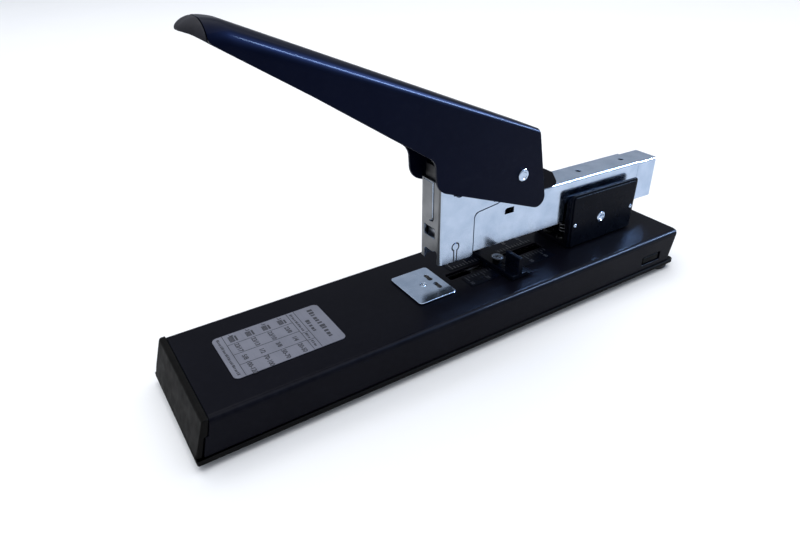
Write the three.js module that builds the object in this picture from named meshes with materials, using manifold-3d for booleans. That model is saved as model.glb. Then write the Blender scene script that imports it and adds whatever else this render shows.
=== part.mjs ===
// Long-base heavy-duty desk stapler: millimetres, +Z up, +X to the rear, +Y to the user's left.
// The origin is on the table under the middle of the base. Each THREE.Mesh is one physical piece.
import * as THREE from "three";
import { mergeVertices } from "three/addons/utils/BufferGeometryUtils.js";
import Module from "manifold-3d";

const wasm = await Module();
wasm.setup();

// ---------------------------------------------------------------- driving dimensions
const GAP = 0.3; // clearance between pieces that slide or rest on each other
const STEEL = 1.5; // sheet of the base cover and of the handle

// base
const BASE_FRONT = -136;
const BASE_REAR = 145;
const BASE_HALF = 33;
const BASE_TOP = 24;
const WALL_BOTTOM = 6;
const FOOT_HEIGHT = 3.5;
const TRAY_HALF = 34;
const TRAY_TOP = 5.7;
const COVER_BEND = 3;
const CAP_FRONT = -145;
const CAP_BROW = -139.5;
const WALL_FRONT = -142; // the bottom front end of the cover's side walls
const WALL_REAR = 139.8; // the bottom of the cover's sloping rear wall
const TRAY_REAR = 141.8;
const LIP_FRONT = -133; // the tray's lip stands inside the cover's walls
const LIP_REAR = 137.2;
const LIP_HALF = 31.1;
const LIP_THICK = 1.5;
const LIP_TOP = 12;
const TAB_FRONT = 115; // snap tabs of the tray, in the cover's side slots
const TAB_REAR = 127.5;
const TAB_OUTER = 32.6;
const TAB_BOTTOM = 9.8;
const TAB_TOP = 13.4;
const SIDE_SLOT_FRONT = 113.7;
const SIDE_SLOT_REAR = 128.7;
const SIDE_SLOT_BOTTOM = 9;
const SIDE_SLOT_TOP = 14.2;
const TONGUE_FRONT = -138.6; // tongues of the cap, pushed in under the cover's top
const TONGUE_REAR = -127;
const TONGUE_INNER = 16;
const TONGUE_OUTER = 27;
const TONGUE_BOTTOM = 14;
const BOSS_RADIUS = 4.2;
const SCREW_RADIUS = 1.5;
const SCREW_HOLE = 1.8;
const SCREW_HEAD = 1.3;
const SCREW_HEAD_RADIUS = 3.1;
const SCREW_TOP = 21.5;
const FOOT_RADIUS = 6;
const FEET = [[-127, 20], [135, 27]]; // the front and the rear pair
const SPINE_FRONT = -58;
const SPINE_REAR = 135;
const SPINE_HALF = 20;
const SPINE_FLANGE_BOTTOM = 8;
const BOLT_HOLE = 2.3;
const SPINE_TOP = 22.2;
const SPINE_BOTTOM = 19.9;
const LABEL = [-120, -67, -16.5, 16.5, 2.5]; // x, y and corner radius
const FILM_BOTTOM = BASE_TOP + 0.05;
const LABEL_TOP = BASE_TOP + 0.35;
const STRIP = { front: 6, rear: 63, inner: 4.5, outer: 14.5, top: BASE_TOP + 0.25 };
const SLOT_FRONT = 1;
const SLOT_REAR = 64;
const SLOT_HALF = 3;

// anvil
const ANVIL_X = -14.5;
const ANVIL_LENGTH = 22;
const ANVIL_WIDTH = 28.8;
const ANVIL_HOLE = 2;
const ANVIL_PIN_RADIUS = 1.5;
const ANVIL_FLANGE = { radius: 4, bottom: 17.2, top: 19.2 };
const ANVIL_BOTTOM = BASE_TOP + GAP;
const ANVIL_TOP = ANVIL_BOTTOM + 0.9;
const POCKET = { half: 1.1, depth: 0.5, inner: 1.4, outer: 7.2 };
const POCKET_X = -8.5; // the clinching pockets lie under the driver blade

// magazine: its own frame has its origin on the pivot pin, u to the rear and w up
const PIVOT_X = 96;
const PIVOT_Z = 38;
const PITCH = THREE.MathUtils.degToRad(1.5);
const PIN_RADIUS = 3;
const MAG_HALF = 8.4;
const MAG_SHEET = 1.2;
const MAG_INNER = MAG_HALF - MAG_SHEET;
const MAG_BOTTOM = 0.3;
const MAG_TOP = 24.2;
const HEAD_FRONT = -106.5;
const HEAD_REAR = -86;
const HEAD_TOP = 38.2;
const HEAD_SHOULDER = 31.3; // the side walls drop here, to let the press bar pass
const HEAD_BOTTOM = -2.3;
const SLEEVE_REAR = 32;
const SLEEVE_WINDOW = [-66.4, -60.5, -20, 20, 15.8, 18.9];
const SLEEVE_HOLES = [-7.8, 26.1];
const SLEEVE_HOLE_RADIUS = 1.1;
const LUG_RADIUS = 7;
const HEAD_WINDOW = [-4.8, 4.8, 10.8, 15];
const KEYHOLE = { radius: 1.9, u: -96.8, w: 5.9, slotHalf: 1.3 };
const RAIL = { front: -84, rear: -8, bottom: -1, top: 0.2 };
const MAG_REAR = 47.6;
const TRACK_BOTTOM = 4.2;
const TRACK_TOP = 13.5;
const TRACK_HALF = 5.5;
const ROD_W = 8.6;
const SEAT_BOTTOM = 15.4; // the web across the head that the driver spring stands on

// pivot bracket on the base, under and beside the magazine
const BRACKET_INNER = 9.3;
const BRACKET_OUTER = 11.5;
const BRACKET_COVER_OUTER = 14;
const BRACKET_FRONT = 73;
const BRACKET_REAR = 122;
const BRACKET_FLOOR_TOP = BASE_TOP + 2.8;
const COVER_FACE = [
  [72.6, BASE_TOP + 0.6, 1],
  [122.5, BASE_TOP + 0.6, 1],
  [124.4, 54.6, 2.4],
  [72.6, 55.9, 2.4],
];
const RIVET_RADIUS = 1.1;
const RIVETS = [76, 119.6];
const HEAD_RISE = 0.4; // how far the pin and the rivets stand out of the covers
const BOLT_OFFSET = 20;
const BOLT = { radius: 2, head: 3, bottom: 16.5, rise: 1.7 };
const LIFT_SPRING = { radius: 3.6, wire: 0.5, length: 10, turns: 5, x: 84 };

// handle
const HANDLE_PIN_X = 37.1;
const HANDLE_PIN_Z = 76.3;
const HANDLE_HALF = 12;
const HANDLE_FRONT = -105;
const TIP_FRONT = -111.8;
const HANDLE_REAR = 46.5;
const RIDGE_FRONT_Z = 165.6;
const RIDGE_REAR_Z = 97.5;
const BROW_X = -97; // from here to the front the top dips below the ridge
const BROW_FRONT_Z = 163.7;
const GRIP_SCREW_X = -98.7;
const PRESS_BAR_X = 5;
const PRESS_BAR_Z = 91.2;
const PRESS_BAR_RADIUS = 3;

// paper guide
const GUIDE_X = 29; // front face of its two stops
const GUIDE_BOTTOM = 24.7;
const GUIDE_BAR_TOP = 27.2;
const GUIDE_TOP = 36.5;
const GUIDE_HALF = 22.5;
const GUIDE_STOP_INNER = 12;
const GUIDE_FRONT = 25.3;
const GUIDE_REAR = 36;
const GUIDE_STOP_THICK = 2.8;
const GUIDE_FOOT_LENGTH = 10;
const GUIDE_FOOT_THICK = 1.4;
const CLAMP_X = 28; // the screw that holds the clamp plate under the guide bar
const CLAMP_PLATE = [19, 37, -8, 8, 17.4, 19.4];
const CLAMP_SCREW = { head: 3, radius: 1.4, bottom: 15.4, seat: 17.1, top: 25 };
const KNOB_X = 28.3;
const KNOB_Y = -6.3;

// ---------------------------------------------------------------- materials
const finish = (color, roughness, metalness) =>
  new THREE.MeshStandardMaterial({ color, roughness, metalness });
const BLACK_PAINT = finish(0x14161c, 0.35, 0.2);
const NAVY_PAINT = finish(0x161d33, 0.22, 0.2);
const BLACK_PLASTIC = finish(0x121315, 0.55, 0);
const GREY_PLASTIC = finish(0x3a3a3e, 0.6, 0);
const BRIGHT_STEEL = finish(0xc9ced6, 0.22, 1);
const PLAIN_STEEL = finish(0x8f949b, 0.4, 1);
const LABEL_FILM = finish(0xaeb0b2, 0.45, 0.3);
const RUBBER = finish(0x0d0d0d, 0.9, 0);

// ---------------------------------------------------------------- solids
// The two limits in Y of a piece on one side of the middle, the lower one first.
const span = (hand, near, far) => [hand * near, hand * far].sort((a, b) => a - b);

// A closed three.js geometry as a manifold solid.
function solid(geometry) {
  const bare = geometry.clone();
  bare.deleteAttribute("normal");
  bare.deleteAttribute("uv");
  const merged = mergeVertices(bare, 1e-4);
  return new wasm.Manifold(
    new wasm.Mesh({
      numProp: 3,
      vertProperties: new Float32Array(merged.attributes.position.array),
      triVerts: new Uint32Array(merged.index.array),
    }),
  );
}

const join = (first, ...others) => others.reduce((sum, next) => sum.add(next), first);
const cut = (body, ...tools) => tools.reduce((rest, tool) => rest.subtract(tool), body);

// A manifold solid as a named mesh.
function piece(name, shape, material) {
  const { vertProperties, triVerts } = shape.getMesh();
  const geometry = new THREE.BufferGeometry();
  geometry.setAttribute("position", new THREE.BufferAttribute(vertProperties, 3));
  geometry.setIndex(new THREE.BufferAttribute(triVerts, 1));
  const flat = geometry.toNonIndexed();
  flat.computeVertexNormals();
  const mesh = new THREE.Mesh(flat, material);
  mesh.name = name;
  return mesh;
}

// A closed outline from corners [a, b, radius]; a corner with a radius becomes an arc.
function outline(corners) {
  const shape = new THREE.Shape();
  corners.forEach(([a, b, radius = 0], i) => {
    const corner = new THREE.Vector2(a, b);
    const last = corners[(i + corners.length - 1) % corners.length];
    const next = corners[(i + 1) % corners.length];
    const back = new THREE.Vector2(last[0], last[1]).sub(corner).normalize();
    const ahead = new THREE.Vector2(next[0], next[1]).sub(corner).normalize();
    const half = Math.acos(THREE.MathUtils.clamp(back.dot(ahead), -1, 1)) / 2;
    const reach = radius / Math.tan(half);
    const start = corner.clone().addScaledVector(back, reach);
    if (i === 0) shape.moveTo(start.x, start.y);
    else shape.lineTo(start.x, start.y);
    if (radius === 0) return;
    const inward = back.clone().add(ahead).normalize();
    const centre = corner.clone().addScaledVector(inward, radius / Math.sin(half));
    const end = corner.clone().addScaledVector(ahead, reach);
    const from = Math.atan2(start.y - centre.y, start.x - centre.x);
    const to = Math.atan2(end.y - centre.y, end.x - centre.x);
    const clockwise = back.cross(ahead) > 0;
    shape.absarc(centre.x, centre.y, radius, from, to, clockwise);
  });
  shape.closePath();
  return shape;
}

const extrude = (shape, depth, curveSegments) =>
  new THREE.ExtrudeGeometry(shape, { depth, bevelEnabled: false, curveSegments });

// The outline's own plane is XZ, YZ or XY, and the solid runs between the two limits across it.
function acrossY(corners, y0, y1, segments = 6) {
  const geometry = extrude(outline(corners), y1 - y0, segments);
  return solid(geometry.rotateX(Math.PI / 2).translate(0, y1, 0));
}
function alongX(corners, x0, x1, segments = 6) {
  const turn = new THREE.Matrix4().makeBasis(
    new THREE.Vector3(0, 1, 0),
    new THREE.Vector3(0, 0, 1),
    new THREE.Vector3(1, 0, 0),
  );
  return solid(extrude(outline(corners), x1 - x0, segments).applyMatrix4(turn).translate(x0, 0, 0));
}
function alongZ(corners, z0, z1, segments = 6) {
  return solid(extrude(outline(corners), z1 - z0, segments).translate(0, 0, z0));
}

function box(x0, x1, y0, y1, z0, z1) {
  const geometry = new THREE.BoxGeometry(x1 - x0, y1 - y0, z1 - z0);
  return solid(geometry.translate((x0 + x1) / 2, (y0 + y1) / 2, (z0 + z1) / 2));
}

const rectangle = (x0, x1, y0, y1, radius = 0) => [
  [x0, y0, radius],
  [x1, y0, radius],
  [x1, y1, radius],
  [x0, y1, radius],
];

// Round bars: across the object, upright, and lengthways.
function barY(radius, x, z, y0, y1, sides = 24) {
  const geometry = new THREE.CylinderGeometry(radius, radius, y1 - y0, sides);
  return solid(geometry.translate(x, (y0 + y1) / 2, z));
}
function barZ(radius, x, y, z0, z1, sides = 24) {
  const geometry = new THREE.CylinderGeometry(radius, radius, z1 - z0, sides);
  return solid(geometry.rotateX(Math.PI / 2).translate(x, y, (z0 + z1) / 2));
}
function barX(radius, y, z, x0, x1, sides = 16) {
  const geometry = new THREE.CylinderGeometry(radius, radius, x1 - x0, sides);
  return solid(geometry.rotateZ(Math.PI / 2).translate((x0 + x1) / 2, y, z));
}

// An upright turned piece from a profile of [radius, z] steps, bottom to top.
function turned(steps, x, y, sides = 24) {
  const profile = [[0, steps[0][1]], ...steps, [0, steps.at(-1)[1]]];
  const points = profile.map(([radius, z]) => new THREE.Vector2(radius, z));
  return solid(new THREE.LatheGeometry(points, sides).rotateX(Math.PI / 2).translate(x, y, 0));
}

// A coil spring about the Z axis of its own frame.
class Helix extends THREE.Curve {
  constructor(radius, length, turns) {
    super();
    Object.assign(this, { radius, length, turns });
  }
  getPoint(t, target = new THREE.Vector3()) {
    const angle = 2 * Math.PI * this.turns * t;
    return target.set(
      this.radius * Math.cos(angle),
      this.radius * Math.sin(angle),
      this.length * t,
    );
  }
}
function coil(radius, wire, length, turns) {
  const section = new THREE.Shape().absarc(0, 0, wire, 0, 2 * Math.PI);
  const height = length - 2 * wire;
  return new THREE.ExtrudeGeometry(section, {
    steps: turns * 10,
    curveSegments: 3,
    bevelEnabled: false,
    extrudePath: new Helix(radius, height, turns),
  }).translate(0, 0, wire);
}

// ---------------------------------------------------------------- base
function baseCover() {
  const side = [
    [WALL_FRONT, WALL_BOTTOM],
    [WALL_REAR, WALL_BOTTOM],
    [BASE_REAR, BASE_TOP, COVER_BEND],
    [BASE_FRONT, BASE_TOP],
  ];
  const section = [
    [-BASE_HALF, 0],
    [BASE_HALF, 0],
    [BASE_HALF, BASE_TOP, COVER_BEND],
    [-BASE_HALF, BASE_TOP, COVER_BEND],
  ];
  const plan = [
    [2 * BASE_FRONT, -BASE_HALF],
    [BASE_REAR, -BASE_HALF, COVER_BEND],
    [BASE_REAR, BASE_HALF, COVER_BEND],
    [2 * BASE_FRONT, BASE_HALF],
  ];
  const outer = acrossY(side, -BASE_HALF, BASE_HALF)
    .intersect(alongX(section, 2 * BASE_FRONT, 2 * BASE_REAR))
    .intersect(alongZ(plan, 0, BASE_TOP));
  const inside = BASE_HALF - STEEL;
  const hollow = [
    [2 * BASE_FRONT, 0],
    [WALL_REAR - 2 * STEEL, 0],
    [BASE_REAR - STEEL, BASE_TOP - STEEL],
    [2 * BASE_FRONT, BASE_TOP - STEEL],
  ];
  return cut(
    outer,
    acrossY(hollow, -inside, inside),
    box(SLOT_FRONT, SLOT_REAR, -SLOT_HALF, SLOT_HALF, SPINE_TOP, BASE_TOP + 1),
    box(SIDE_SLOT_FRONT, SIDE_SLOT_REAR, -BASE_REAR, BASE_REAR, SIDE_SLOT_BOTTOM, SIDE_SLOT_TOP),
    barZ(ANVIL_HOLE, ANVIL_X, 0, SPINE_TOP, BASE_TOP + 1),
    ...boltPlaces.map(([x, y]) => barZ(BOLT_HOLE, x, y, SPINE_TOP, BASE_TOP + 1)),
  );
}

const boltPlaces = [-1, 1].flatMap((end) =>
  [-1, 1].map((hand) => [PIVOT_X + end * BOLT_OFFSET, hand * 5]),
);
const screwPlaces = [-120, -45, 128];

function baseTray() {
  const plan = [
    [CAP_FRONT, -TRAY_HALF, 1],
    [TRAY_REAR, -TRAY_HALF, 3],
    [TRAY_REAR, TRAY_HALF, 3],
    [CAP_FRONT, TRAY_HALF, 1],
  ];
  const floor = alongZ(plan, FOOT_HEIGHT, TRAY_TOP);
  const inner = LIP_HALF - LIP_THICK;
  const lip = cut(
    box(LIP_FRONT, LIP_REAR, -LIP_HALF, LIP_HALF, TRAY_TOP - 1, LIP_TOP),
    box(LIP_FRONT + LIP_THICK, LIP_REAR - LIP_THICK, -inner, inner, TRAY_TOP - 2, LIP_TOP + 1),
  );
  const tabs = [-1, 1].map((hand) => {
    const edges = span(hand, inner + 0.9, TAB_OUTER);
    return box(TAB_FRONT, TAB_REAR, ...edges, TAB_BOTTOM, TAB_TOP);
  });
  const bosses = screwPlaces.map((x) => barZ(BOSS_RADIUS, x, 0, TRAY_TOP - 1, SPINE_BOTTOM - GAP));
  const headRoom = FOOT_HEIGHT + SCREW_HEAD + 0.2;
  return cut(
    join(floor, lip, ...tabs, ...bosses),
    ...screwPlaces.map((x) => barZ(SCREW_HEAD_RADIUS + 0.5, x, 0, FOOT_HEIGHT - 1, headRoom)),
    ...screwPlaces.map((x) => barZ(SCREW_HOLE, x, 0, FOOT_HEIGHT - 1, BASE_TOP)),
  );
}

function trayScrew(x) {
  const head = FOOT_HEIGHT + SCREW_HEAD;
  const steps = [
    [SCREW_HEAD_RADIUS, FOOT_HEIGHT + 0.1],
    [SCREW_HEAD_RADIUS, head],
    [SCREW_RADIUS, head],
    [SCREW_RADIUS, SCREW_TOP],
  ];
  return turned(steps, x, 0, 16);
}

function frontCap() {
  const side = [
    [WALL_FRONT - GAP, WALL_BOTTOM],
    [BASE_FRONT - GAP, BASE_TOP],
    [CAP_BROW, BASE_TOP, 1.5],
    [CAP_FRONT, WALL_BOTTOM],
  ];
  const plan = [
    [CAP_FRONT, -BASE_HALF, 2],
    [BASE_FRONT, -BASE_HALF],
    [BASE_FRONT, BASE_HALF],
    [CAP_FRONT, BASE_HALF, 2],
  ];
  const face = acrossY(side, -BASE_HALF, BASE_HALF).intersect(alongZ(plan, 0, BASE_TOP));
  const tongues = [-1, 1].map((hand) => {
    const edges = span(hand, TONGUE_INNER, TONGUE_OUTER);
    return box(TONGUE_FRONT, TONGUE_REAR, ...edges, TONGUE_BOTTOM, BASE_TOP - STEEL - GAP);
  });
  return join(face, ...tongues);
}

// The steel channel that stiffens the base and carries the anvil and the bracket.
function baseSpine() {
  const plate = box(SPINE_FRONT, SPINE_REAR, -SPINE_HALF, SPINE_HALF, SPINE_BOTTOM, SPINE_TOP);
  const sheet = SPINE_TOP - SPINE_BOTTOM;
  const flanges = [-1, 1].map((hand) => {
    const edges = span(hand, SPINE_HALF - sheet, SPINE_HALF);
    return box(SPINE_FRONT, SPINE_REAR, ...edges, SPINE_FLANGE_BOTTOM, SPINE_TOP);
  });
  return cut(
    join(plate, ...flanges),
    box(SLOT_FRONT - 2, SLOT_REAR + 2, -SLOT_HALF - 2, SLOT_HALF + 2, 0, BASE_TOP),
    barZ(ANVIL_HOLE, ANVIL_X, 0, 0, BASE_TOP),
    ...boltPlaces.map(([x, y]) => barZ(BOLT_HOLE, x, y, 0, BASE_TOP)),
    ...screwPlaces.map((x) => barZ(SCREW_HOLE, x, 0, 0, BASE_TOP)),
  );
}

const rubberFoot = (x, y) =>
  turned([[FOOT_RADIUS - 0.6, 0], [FOOT_RADIUS, 0.6], [FOOT_RADIUS, FOOT_HEIGHT - 0.05]], x, y);

const labelPlate = () => alongZ(rectangle(...LABEL), FILM_BOTTOM, LABEL_TOP);

const scaleStrip = (hand) =>
  box(STRIP.front, STRIP.rear, ...span(hand, STRIP.inner, STRIP.outer), FILM_BOTTOM, STRIP.top);

// ---------------------------------------------------------------- anvil
function anvilPlate() {
  const halfLength = ANVIL_LENGTH / 2;
  const halfWidth = ANVIL_WIDTH / 2;
  const blank = alongZ(
    rectangle(ANVIL_X - halfLength, ANVIL_X + halfLength, -halfWidth, halfWidth, 2.5),
    ANVIL_BOTTOM,
    ANVIL_TOP,
  );
  const pockets = [-1, 1].map((hand) => {
    const edges = span(hand, POCKET.inner, POCKET.outer);
    const bottom = ANVIL_TOP - POCKET.depth;
    return box(POCKET_X - POCKET.half, POCKET_X + POCKET.half, ...edges, bottom, bottom + 1.5);
  });
  return cut(blank, ...pockets, barZ(ANVIL_PIN_RADIUS + 0.2, ANVIL_X, 0, 0, BASE_TOP + 5));
}

function anvilPin() {
  const { radius, bottom, top } = ANVIL_FLANGE;
  const steps = [[radius, bottom], [radius, top], [ANVIL_PIN_RADIUS, top], [ANVIL_PIN_RADIUS, ANVIL_TOP - 0.1]];
  return turned(steps, ANVIL_X, 0);
}

// ---------------------------------------------------------------- pivot bracket
function pivotBracket() {
  const bottom = BASE_TOP + GAP;
  const floor = box(BRACKET_FRONT, BRACKET_REAR, -BRACKET_OUTER, BRACKET_OUTER, bottom, BRACKET_FLOOR_TOP);
  const cheek = [
    [BRACKET_FRONT, bottom],
    [BRACKET_REAR, bottom],
    [BRACKET_REAR, 51.5, 4],
    [BRACKET_FRONT, 53, 4],
  ];
  const cheeks = [-1, 1].map((hand) => acrossY(cheek, ...span(hand, BRACKET_INNER, BRACKET_OUTER)));
  return cut(
    join(floor, ...cheeks),
    barY(PIN_RADIUS + 0.1, PIVOT_X, PIVOT_Z, -BASE_HALF, BASE_HALF, 32),
    ...RIVETS.map((x) => barY(RIVET_RADIUS + 0.2, x, PIVOT_Z, -BASE_HALF, BASE_HALF, 16)),
    ...boltPlaces.map(([x, y]) => barZ(BOLT_HOLE, x, y, 0, BASE_TOP + 5)),
  );
}

function bracketCover(hand) {
  return cut(
    acrossY(COVER_FACE, ...span(hand, BRACKET_OUTER + GAP, BRACKET_COVER_OUTER)),
    barY(PIN_RADIUS + 0.1, PIVOT_X, PIVOT_Z, -BASE_HALF, BASE_HALF, 32),
    ...RIVETS.map((x) => barY(RIVET_RADIUS + 0.2, x, PIVOT_Z, -BASE_HALF, BASE_HALF, 16)),
  );
}

function pivotPin() {
  const end = BRACKET_COVER_OUTER + HEAD_RISE;
  return barY(PIN_RADIUS, PIVOT_X, PIVOT_Z, -end, end, 32);
}

const bracketRivet = (x, hand) =>
  barY(RIVET_RADIUS, x, PIVOT_Z, ...span(hand, BRACKET_INNER + 0.1, BRACKET_COVER_OUTER + HEAD_RISE), 16);

function bracketBolt(x, y) {
  const seat = BRACKET_FLOOR_TOP + 0.1;
  const { radius, head, bottom, rise } = BOLT;
  return turned([[radius, bottom], [radius, seat], [head, seat], [head, seat + rise]], x, y, 16);
}

function liftSpring() {
  const { radius, wire, length, turns, x } = LIFT_SPRING;
  return solid(coil(radius, wire, length, turns).translate(x, 0, BRACKET_FLOOR_TOP + 0.2));
}

// ---------------------------------------------------------------- paper guide
function guideBar() {
  const bar = box(GUIDE_FRONT, GUIDE_REAR, -GUIDE_HALF, GUIDE_HALF, GUIDE_BOTTOM, GUIDE_BAR_TOP);
  const stops = [-1, 1].flatMap((hand) => {
    const edges = span(hand, GUIDE_STOP_INNER, GUIDE_HALF);
    return [
      box(GUIDE_X, GUIDE_X + GUIDE_STOP_THICK, ...edges, GUIDE_BOTTOM, GUIDE_TOP),
      box(GUIDE_X, GUIDE_X + GUIDE_FOOT_LENGTH, ...edges, GUIDE_BOTTOM, GUIDE_BOTTOM + GUIDE_FOOT_THICK),
    ];
  });
  const tongueHalf = SLOT_HALF - GAP;
  const tongueBottom = SPINE_BOTTOM - 0.2;
  const tongueTop = GUIDE_BAR_TOP - 0.5;
  const tongue = box(GUIDE_FRONT + 0.7, GUIDE_REAR - 2, -tongueHalf, tongueHalf, tongueBottom, tongueTop);
  return cut(
    join(bar, ...stops, tongue),
    barZ(1.8, KNOB_X, KNOB_Y, 0, GUIDE_TOP),
    barZ(1.6, CLAMP_X, 0, 0, CLAMP_SCREW.top + 0.5),
  );
}

const guideKnob = () =>
  turned(
    [
      [1.5, BASE_TOP + 0.5],
      [1.5, GUIDE_BAR_TOP + GAP],
      [2.4, GUIDE_BAR_TOP + GAP],
      [3.1, 30.2],
      [3.5, 30.4],
      [3.5, 31],
    ],
    KNOB_X,
    KNOB_Y,
  );

const guideClampPlate = () => cut(box(...CLAMP_PLATE), barZ(1.6, CLAMP_X, 0, 0, BASE_TOP));

function guideClampScrew() {
  const { head, radius, bottom, seat, top } = CLAMP_SCREW;
  return turned([[head, bottom], [head, seat], [radius, seat], [radius, top]], CLAMP_X, 0, 16);
}

// ---------------------------------------------------------------- magazine, in its own frame
function magazineSleeve() {
  const outer = box(HEAD_REAR + GAP, SLEEVE_REAR, -MAG_HALF, MAG_HALF, MAG_BOTTOM, MAG_TOP);
  const lug = barY(LUG_RADIUS, 0, 0, -MAG_HALF, MAG_HALF, 32);
  const hollow = box(HEAD_REAR - 1, SLEEVE_REAR + 1, -MAG_INNER, MAG_INNER, -10, MAG_TOP - MAG_SHEET);
  return cut(
    join(outer, lug),
    hollow,
    barY(PIN_RADIUS + 0.1, 0, 0, -20, 20, 32),
    box(...SLEEVE_WINDOW),
    ...SLEEVE_HOLES.map((u) => barZ(SLEEVE_HOLE_RADIUS, u, 0, MAG_TOP - 2, MAG_TOP + 1, 16)),
  );
}

function headHousing() {
  const side = [
    [HEAD_FRONT, HEAD_BOTTOM],
    [HEAD_REAR, HEAD_BOTTOM],
    [HEAD_REAR, MAG_TOP + GAP],
    [-74, MAG_TOP + GAP],
    [-76, HEAD_SHOULDER],
    [-98.8, HEAD_SHOULDER],
    [-99.8, HEAD_TOP],
    [HEAD_FRONT, HEAD_TOP],
  ];
  const outer = acrossY(side, -MAG_HALF, MAG_HALF);
  const hollow = box(HEAD_FRONT + MAG_SHEET, 0, -MAG_INNER, MAG_INNER, -10, 60);
  const seatHalf = MAG_HALF - 0.5;
  const seat = box(HEAD_FRONT + 2.6, HEAD_REAR - 1, -seatHalf, seatHalf, SEAT_BOTTOM, SEAT_BOTTOM + 1);
  return cut(
    join(cut(outer, hollow), seat),
    box(HEAD_FRONT - 1, HEAD_FRONT + 1.5, ...HEAD_WINDOW),
    barY(KEYHOLE.radius, KEYHOLE.u, KEYHOLE.w, -20, 20, 16),
    box(KEYHOLE.u - KEYHOLE.slotHalf, KEYHOLE.u + KEYHOLE.slotHalf, -20, 20, -10, KEYHOLE.w),
  );
}

const bottomRail = () =>
  box(RAIL.front, RAIL.rear, -MAG_INNER + GAP, MAG_INNER - GAP, RAIL.bottom, RAIL.top);

// ---------------------------------------------------------------- sliding staple track
const TRACK_FRONT = HEAD_FRONT + 2.8;
const TRACK_REAR = 44;
const TRACK_SHEET = 1;
const TRACK_SLIT = { rear: -13, half: 1.4 }; // the pusher's web runs in it
const TRACK_LEDGE_TOP = 3;
const ROD = { radius: 1.2, front: HEAD_FRONT + 3, rear: 45.3, hole: 1.4 };
const PUSHER_SPRING = { radius: 2.6, wire: 0.45, length: 59, turns: 14, front: -15.4 };
const PUSHER = { front: -30, rear: -16, half: 6.7, bottom: 5.5, top: 15, web: 1.1, eye: 3.6, hole: 1.6 };

function stapleTrack() {
  const inside = TRACK_HALF - TRACK_SHEET;
  const outer = box(TRACK_FRONT, TRACK_REAR, -TRACK_HALF, TRACK_HALF, TRACK_BOTTOM, TRACK_TOP);
  const hollow = box(TRACK_FRONT - 1, TRACK_REAR + 1, -inside, inside, 0, TRACK_TOP - TRACK_SHEET);
  const slit = box(TRACK_FRONT + 2, TRACK_SLIT.rear, -TRACK_SLIT.half, TRACK_SLIT.half, 0, 20);
  const noseWeb = box(TRACK_FRONT, TRACK_FRONT + TRACK_SHEET, -5, 5, TRACK_BOTTOM, TRACK_TOP - TRACK_SHEET / 2);
  const rodHole = barX(ROD.hole, 0, ROD_W, TRACK_FRONT - 1, TRACK_FRONT + 3);
  return cut(join(cut(outer, hollow, slit), noseWeb), rodHole);
}

function trackEnd() {
  const outer = box(SLEEVE_REAR + GAP, MAG_REAR, -MAG_HALF + 0.2, MAG_HALF - 0.2, MAG_BOTTOM, MAG_TOP - 0.5);
  const inner = MAG_INNER - 0.2;
  const hollow = box(0, MAG_REAR - 2, -inner, inner, -10, MAG_TOP - 1.7);
  const ledge = box(MAG_REAR - 2.5, MAG_REAR - 1, -inner - 0.1, inner + 0.1, MAG_BOTTOM, TRACK_LEDGE_TOP);
  return join(cut(outer, hollow), ledge);
}

const pusherRod = () => barX(ROD.radius, 0, ROD_W, ROD.front, ROD.rear);

function pusherSpring() {
  const { radius, wire, length, turns, front } = PUSHER_SPRING;
  return solid(coil(radius, wire, length, turns).rotateY(Math.PI / 2).translate(front, 0, ROD_W));
}

function pusher() {
  const { front, rear, half, bottom, top, web, eye, hole } = PUSHER;
  const room = TRACK_HALF + GAP;
  const saddle = cut(
    box(front, rear, -half, half, bottom, top),
    box(front - 1, rear + 1, -room, room, 0, TRACK_TOP + GAP),
  );
  const neck = box(front, rear, -web, web, TRACK_TOP - 3, TRACK_TOP + 1);
  const nut = box(front, rear, -eye, eye, bottom - 0.1, TRACK_TOP - TRACK_SHEET - GAP);
  return cut(join(saddle, neck, nut), barX(hole, 0, ROD_W, front - 1, rear + 1));
}

// ---------------------------------------------------------------- driver
const DRIVER_TOP = 47;
const BLADE = { front: HEAD_FRONT + 1.5, rear: HEAD_FRONT + 2.2, half: 6.5, bottom: 16.2 };
const PLUNGER = { front: HEAD_FRONT + 2.5, rear: HEAD_REAR - 1, half: 6.8, bottom: 38 };
const DRIVER_SPRING = { radius: 4.6, wire: 0.6, length: 21.2, turns: 6, u: -95.5 };

const block = ({ front, rear, half, bottom }, top) => box(front, rear, -half, half, bottom, top);
const driverBlade = () => block(BLADE, DRIVER_TOP);
const plunger = () => block(PLUNGER, DRIVER_TOP);

function driverSpring() {
  const { radius, wire, length, turns, u } = DRIVER_SPRING;
  return solid(coil(radius, wire, length, turns).translate(u, 0, SEAT_BOTTOM + 1.1));
}

// ---------------------------------------------------------------- handle bearing
const PIN_U = -59.9;
const PIN_W = 36.7;
const CHEEK = { inner: 7.6, outer: 9.4 };
const CHEEK_FLOOR = [-71, -35, -8, 8];
const HANDLE_PIN = { radius: 2.5, head: 3.1, hole: 2.6, thick: 0.7 };
function fulcrumBracket() {
  const low = MAG_TOP + GAP;
  const cheek = [
    [-72, low],
    [-33.4, low],
    [-33.4, 27],
    [-37, 32.6, 3],
    [-44, 36.2, 2],
    [-52, 44, 4],
    [-67, 44, 5],
    [-72, 34, 3],
  ];
  const plates = [-1, 1].map((hand) => acrossY(cheek, ...span(hand, CHEEK.inner, CHEEK.outer)));
  const floor = box(...CHEEK_FLOOR, low, low + CHEEK.outer - CHEEK.inner);
  return cut(join(floor, ...plates), barY(HANDLE_PIN.hole, PIN_U, PIN_W, -BASE_HALF, BASE_HALF));
}

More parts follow.
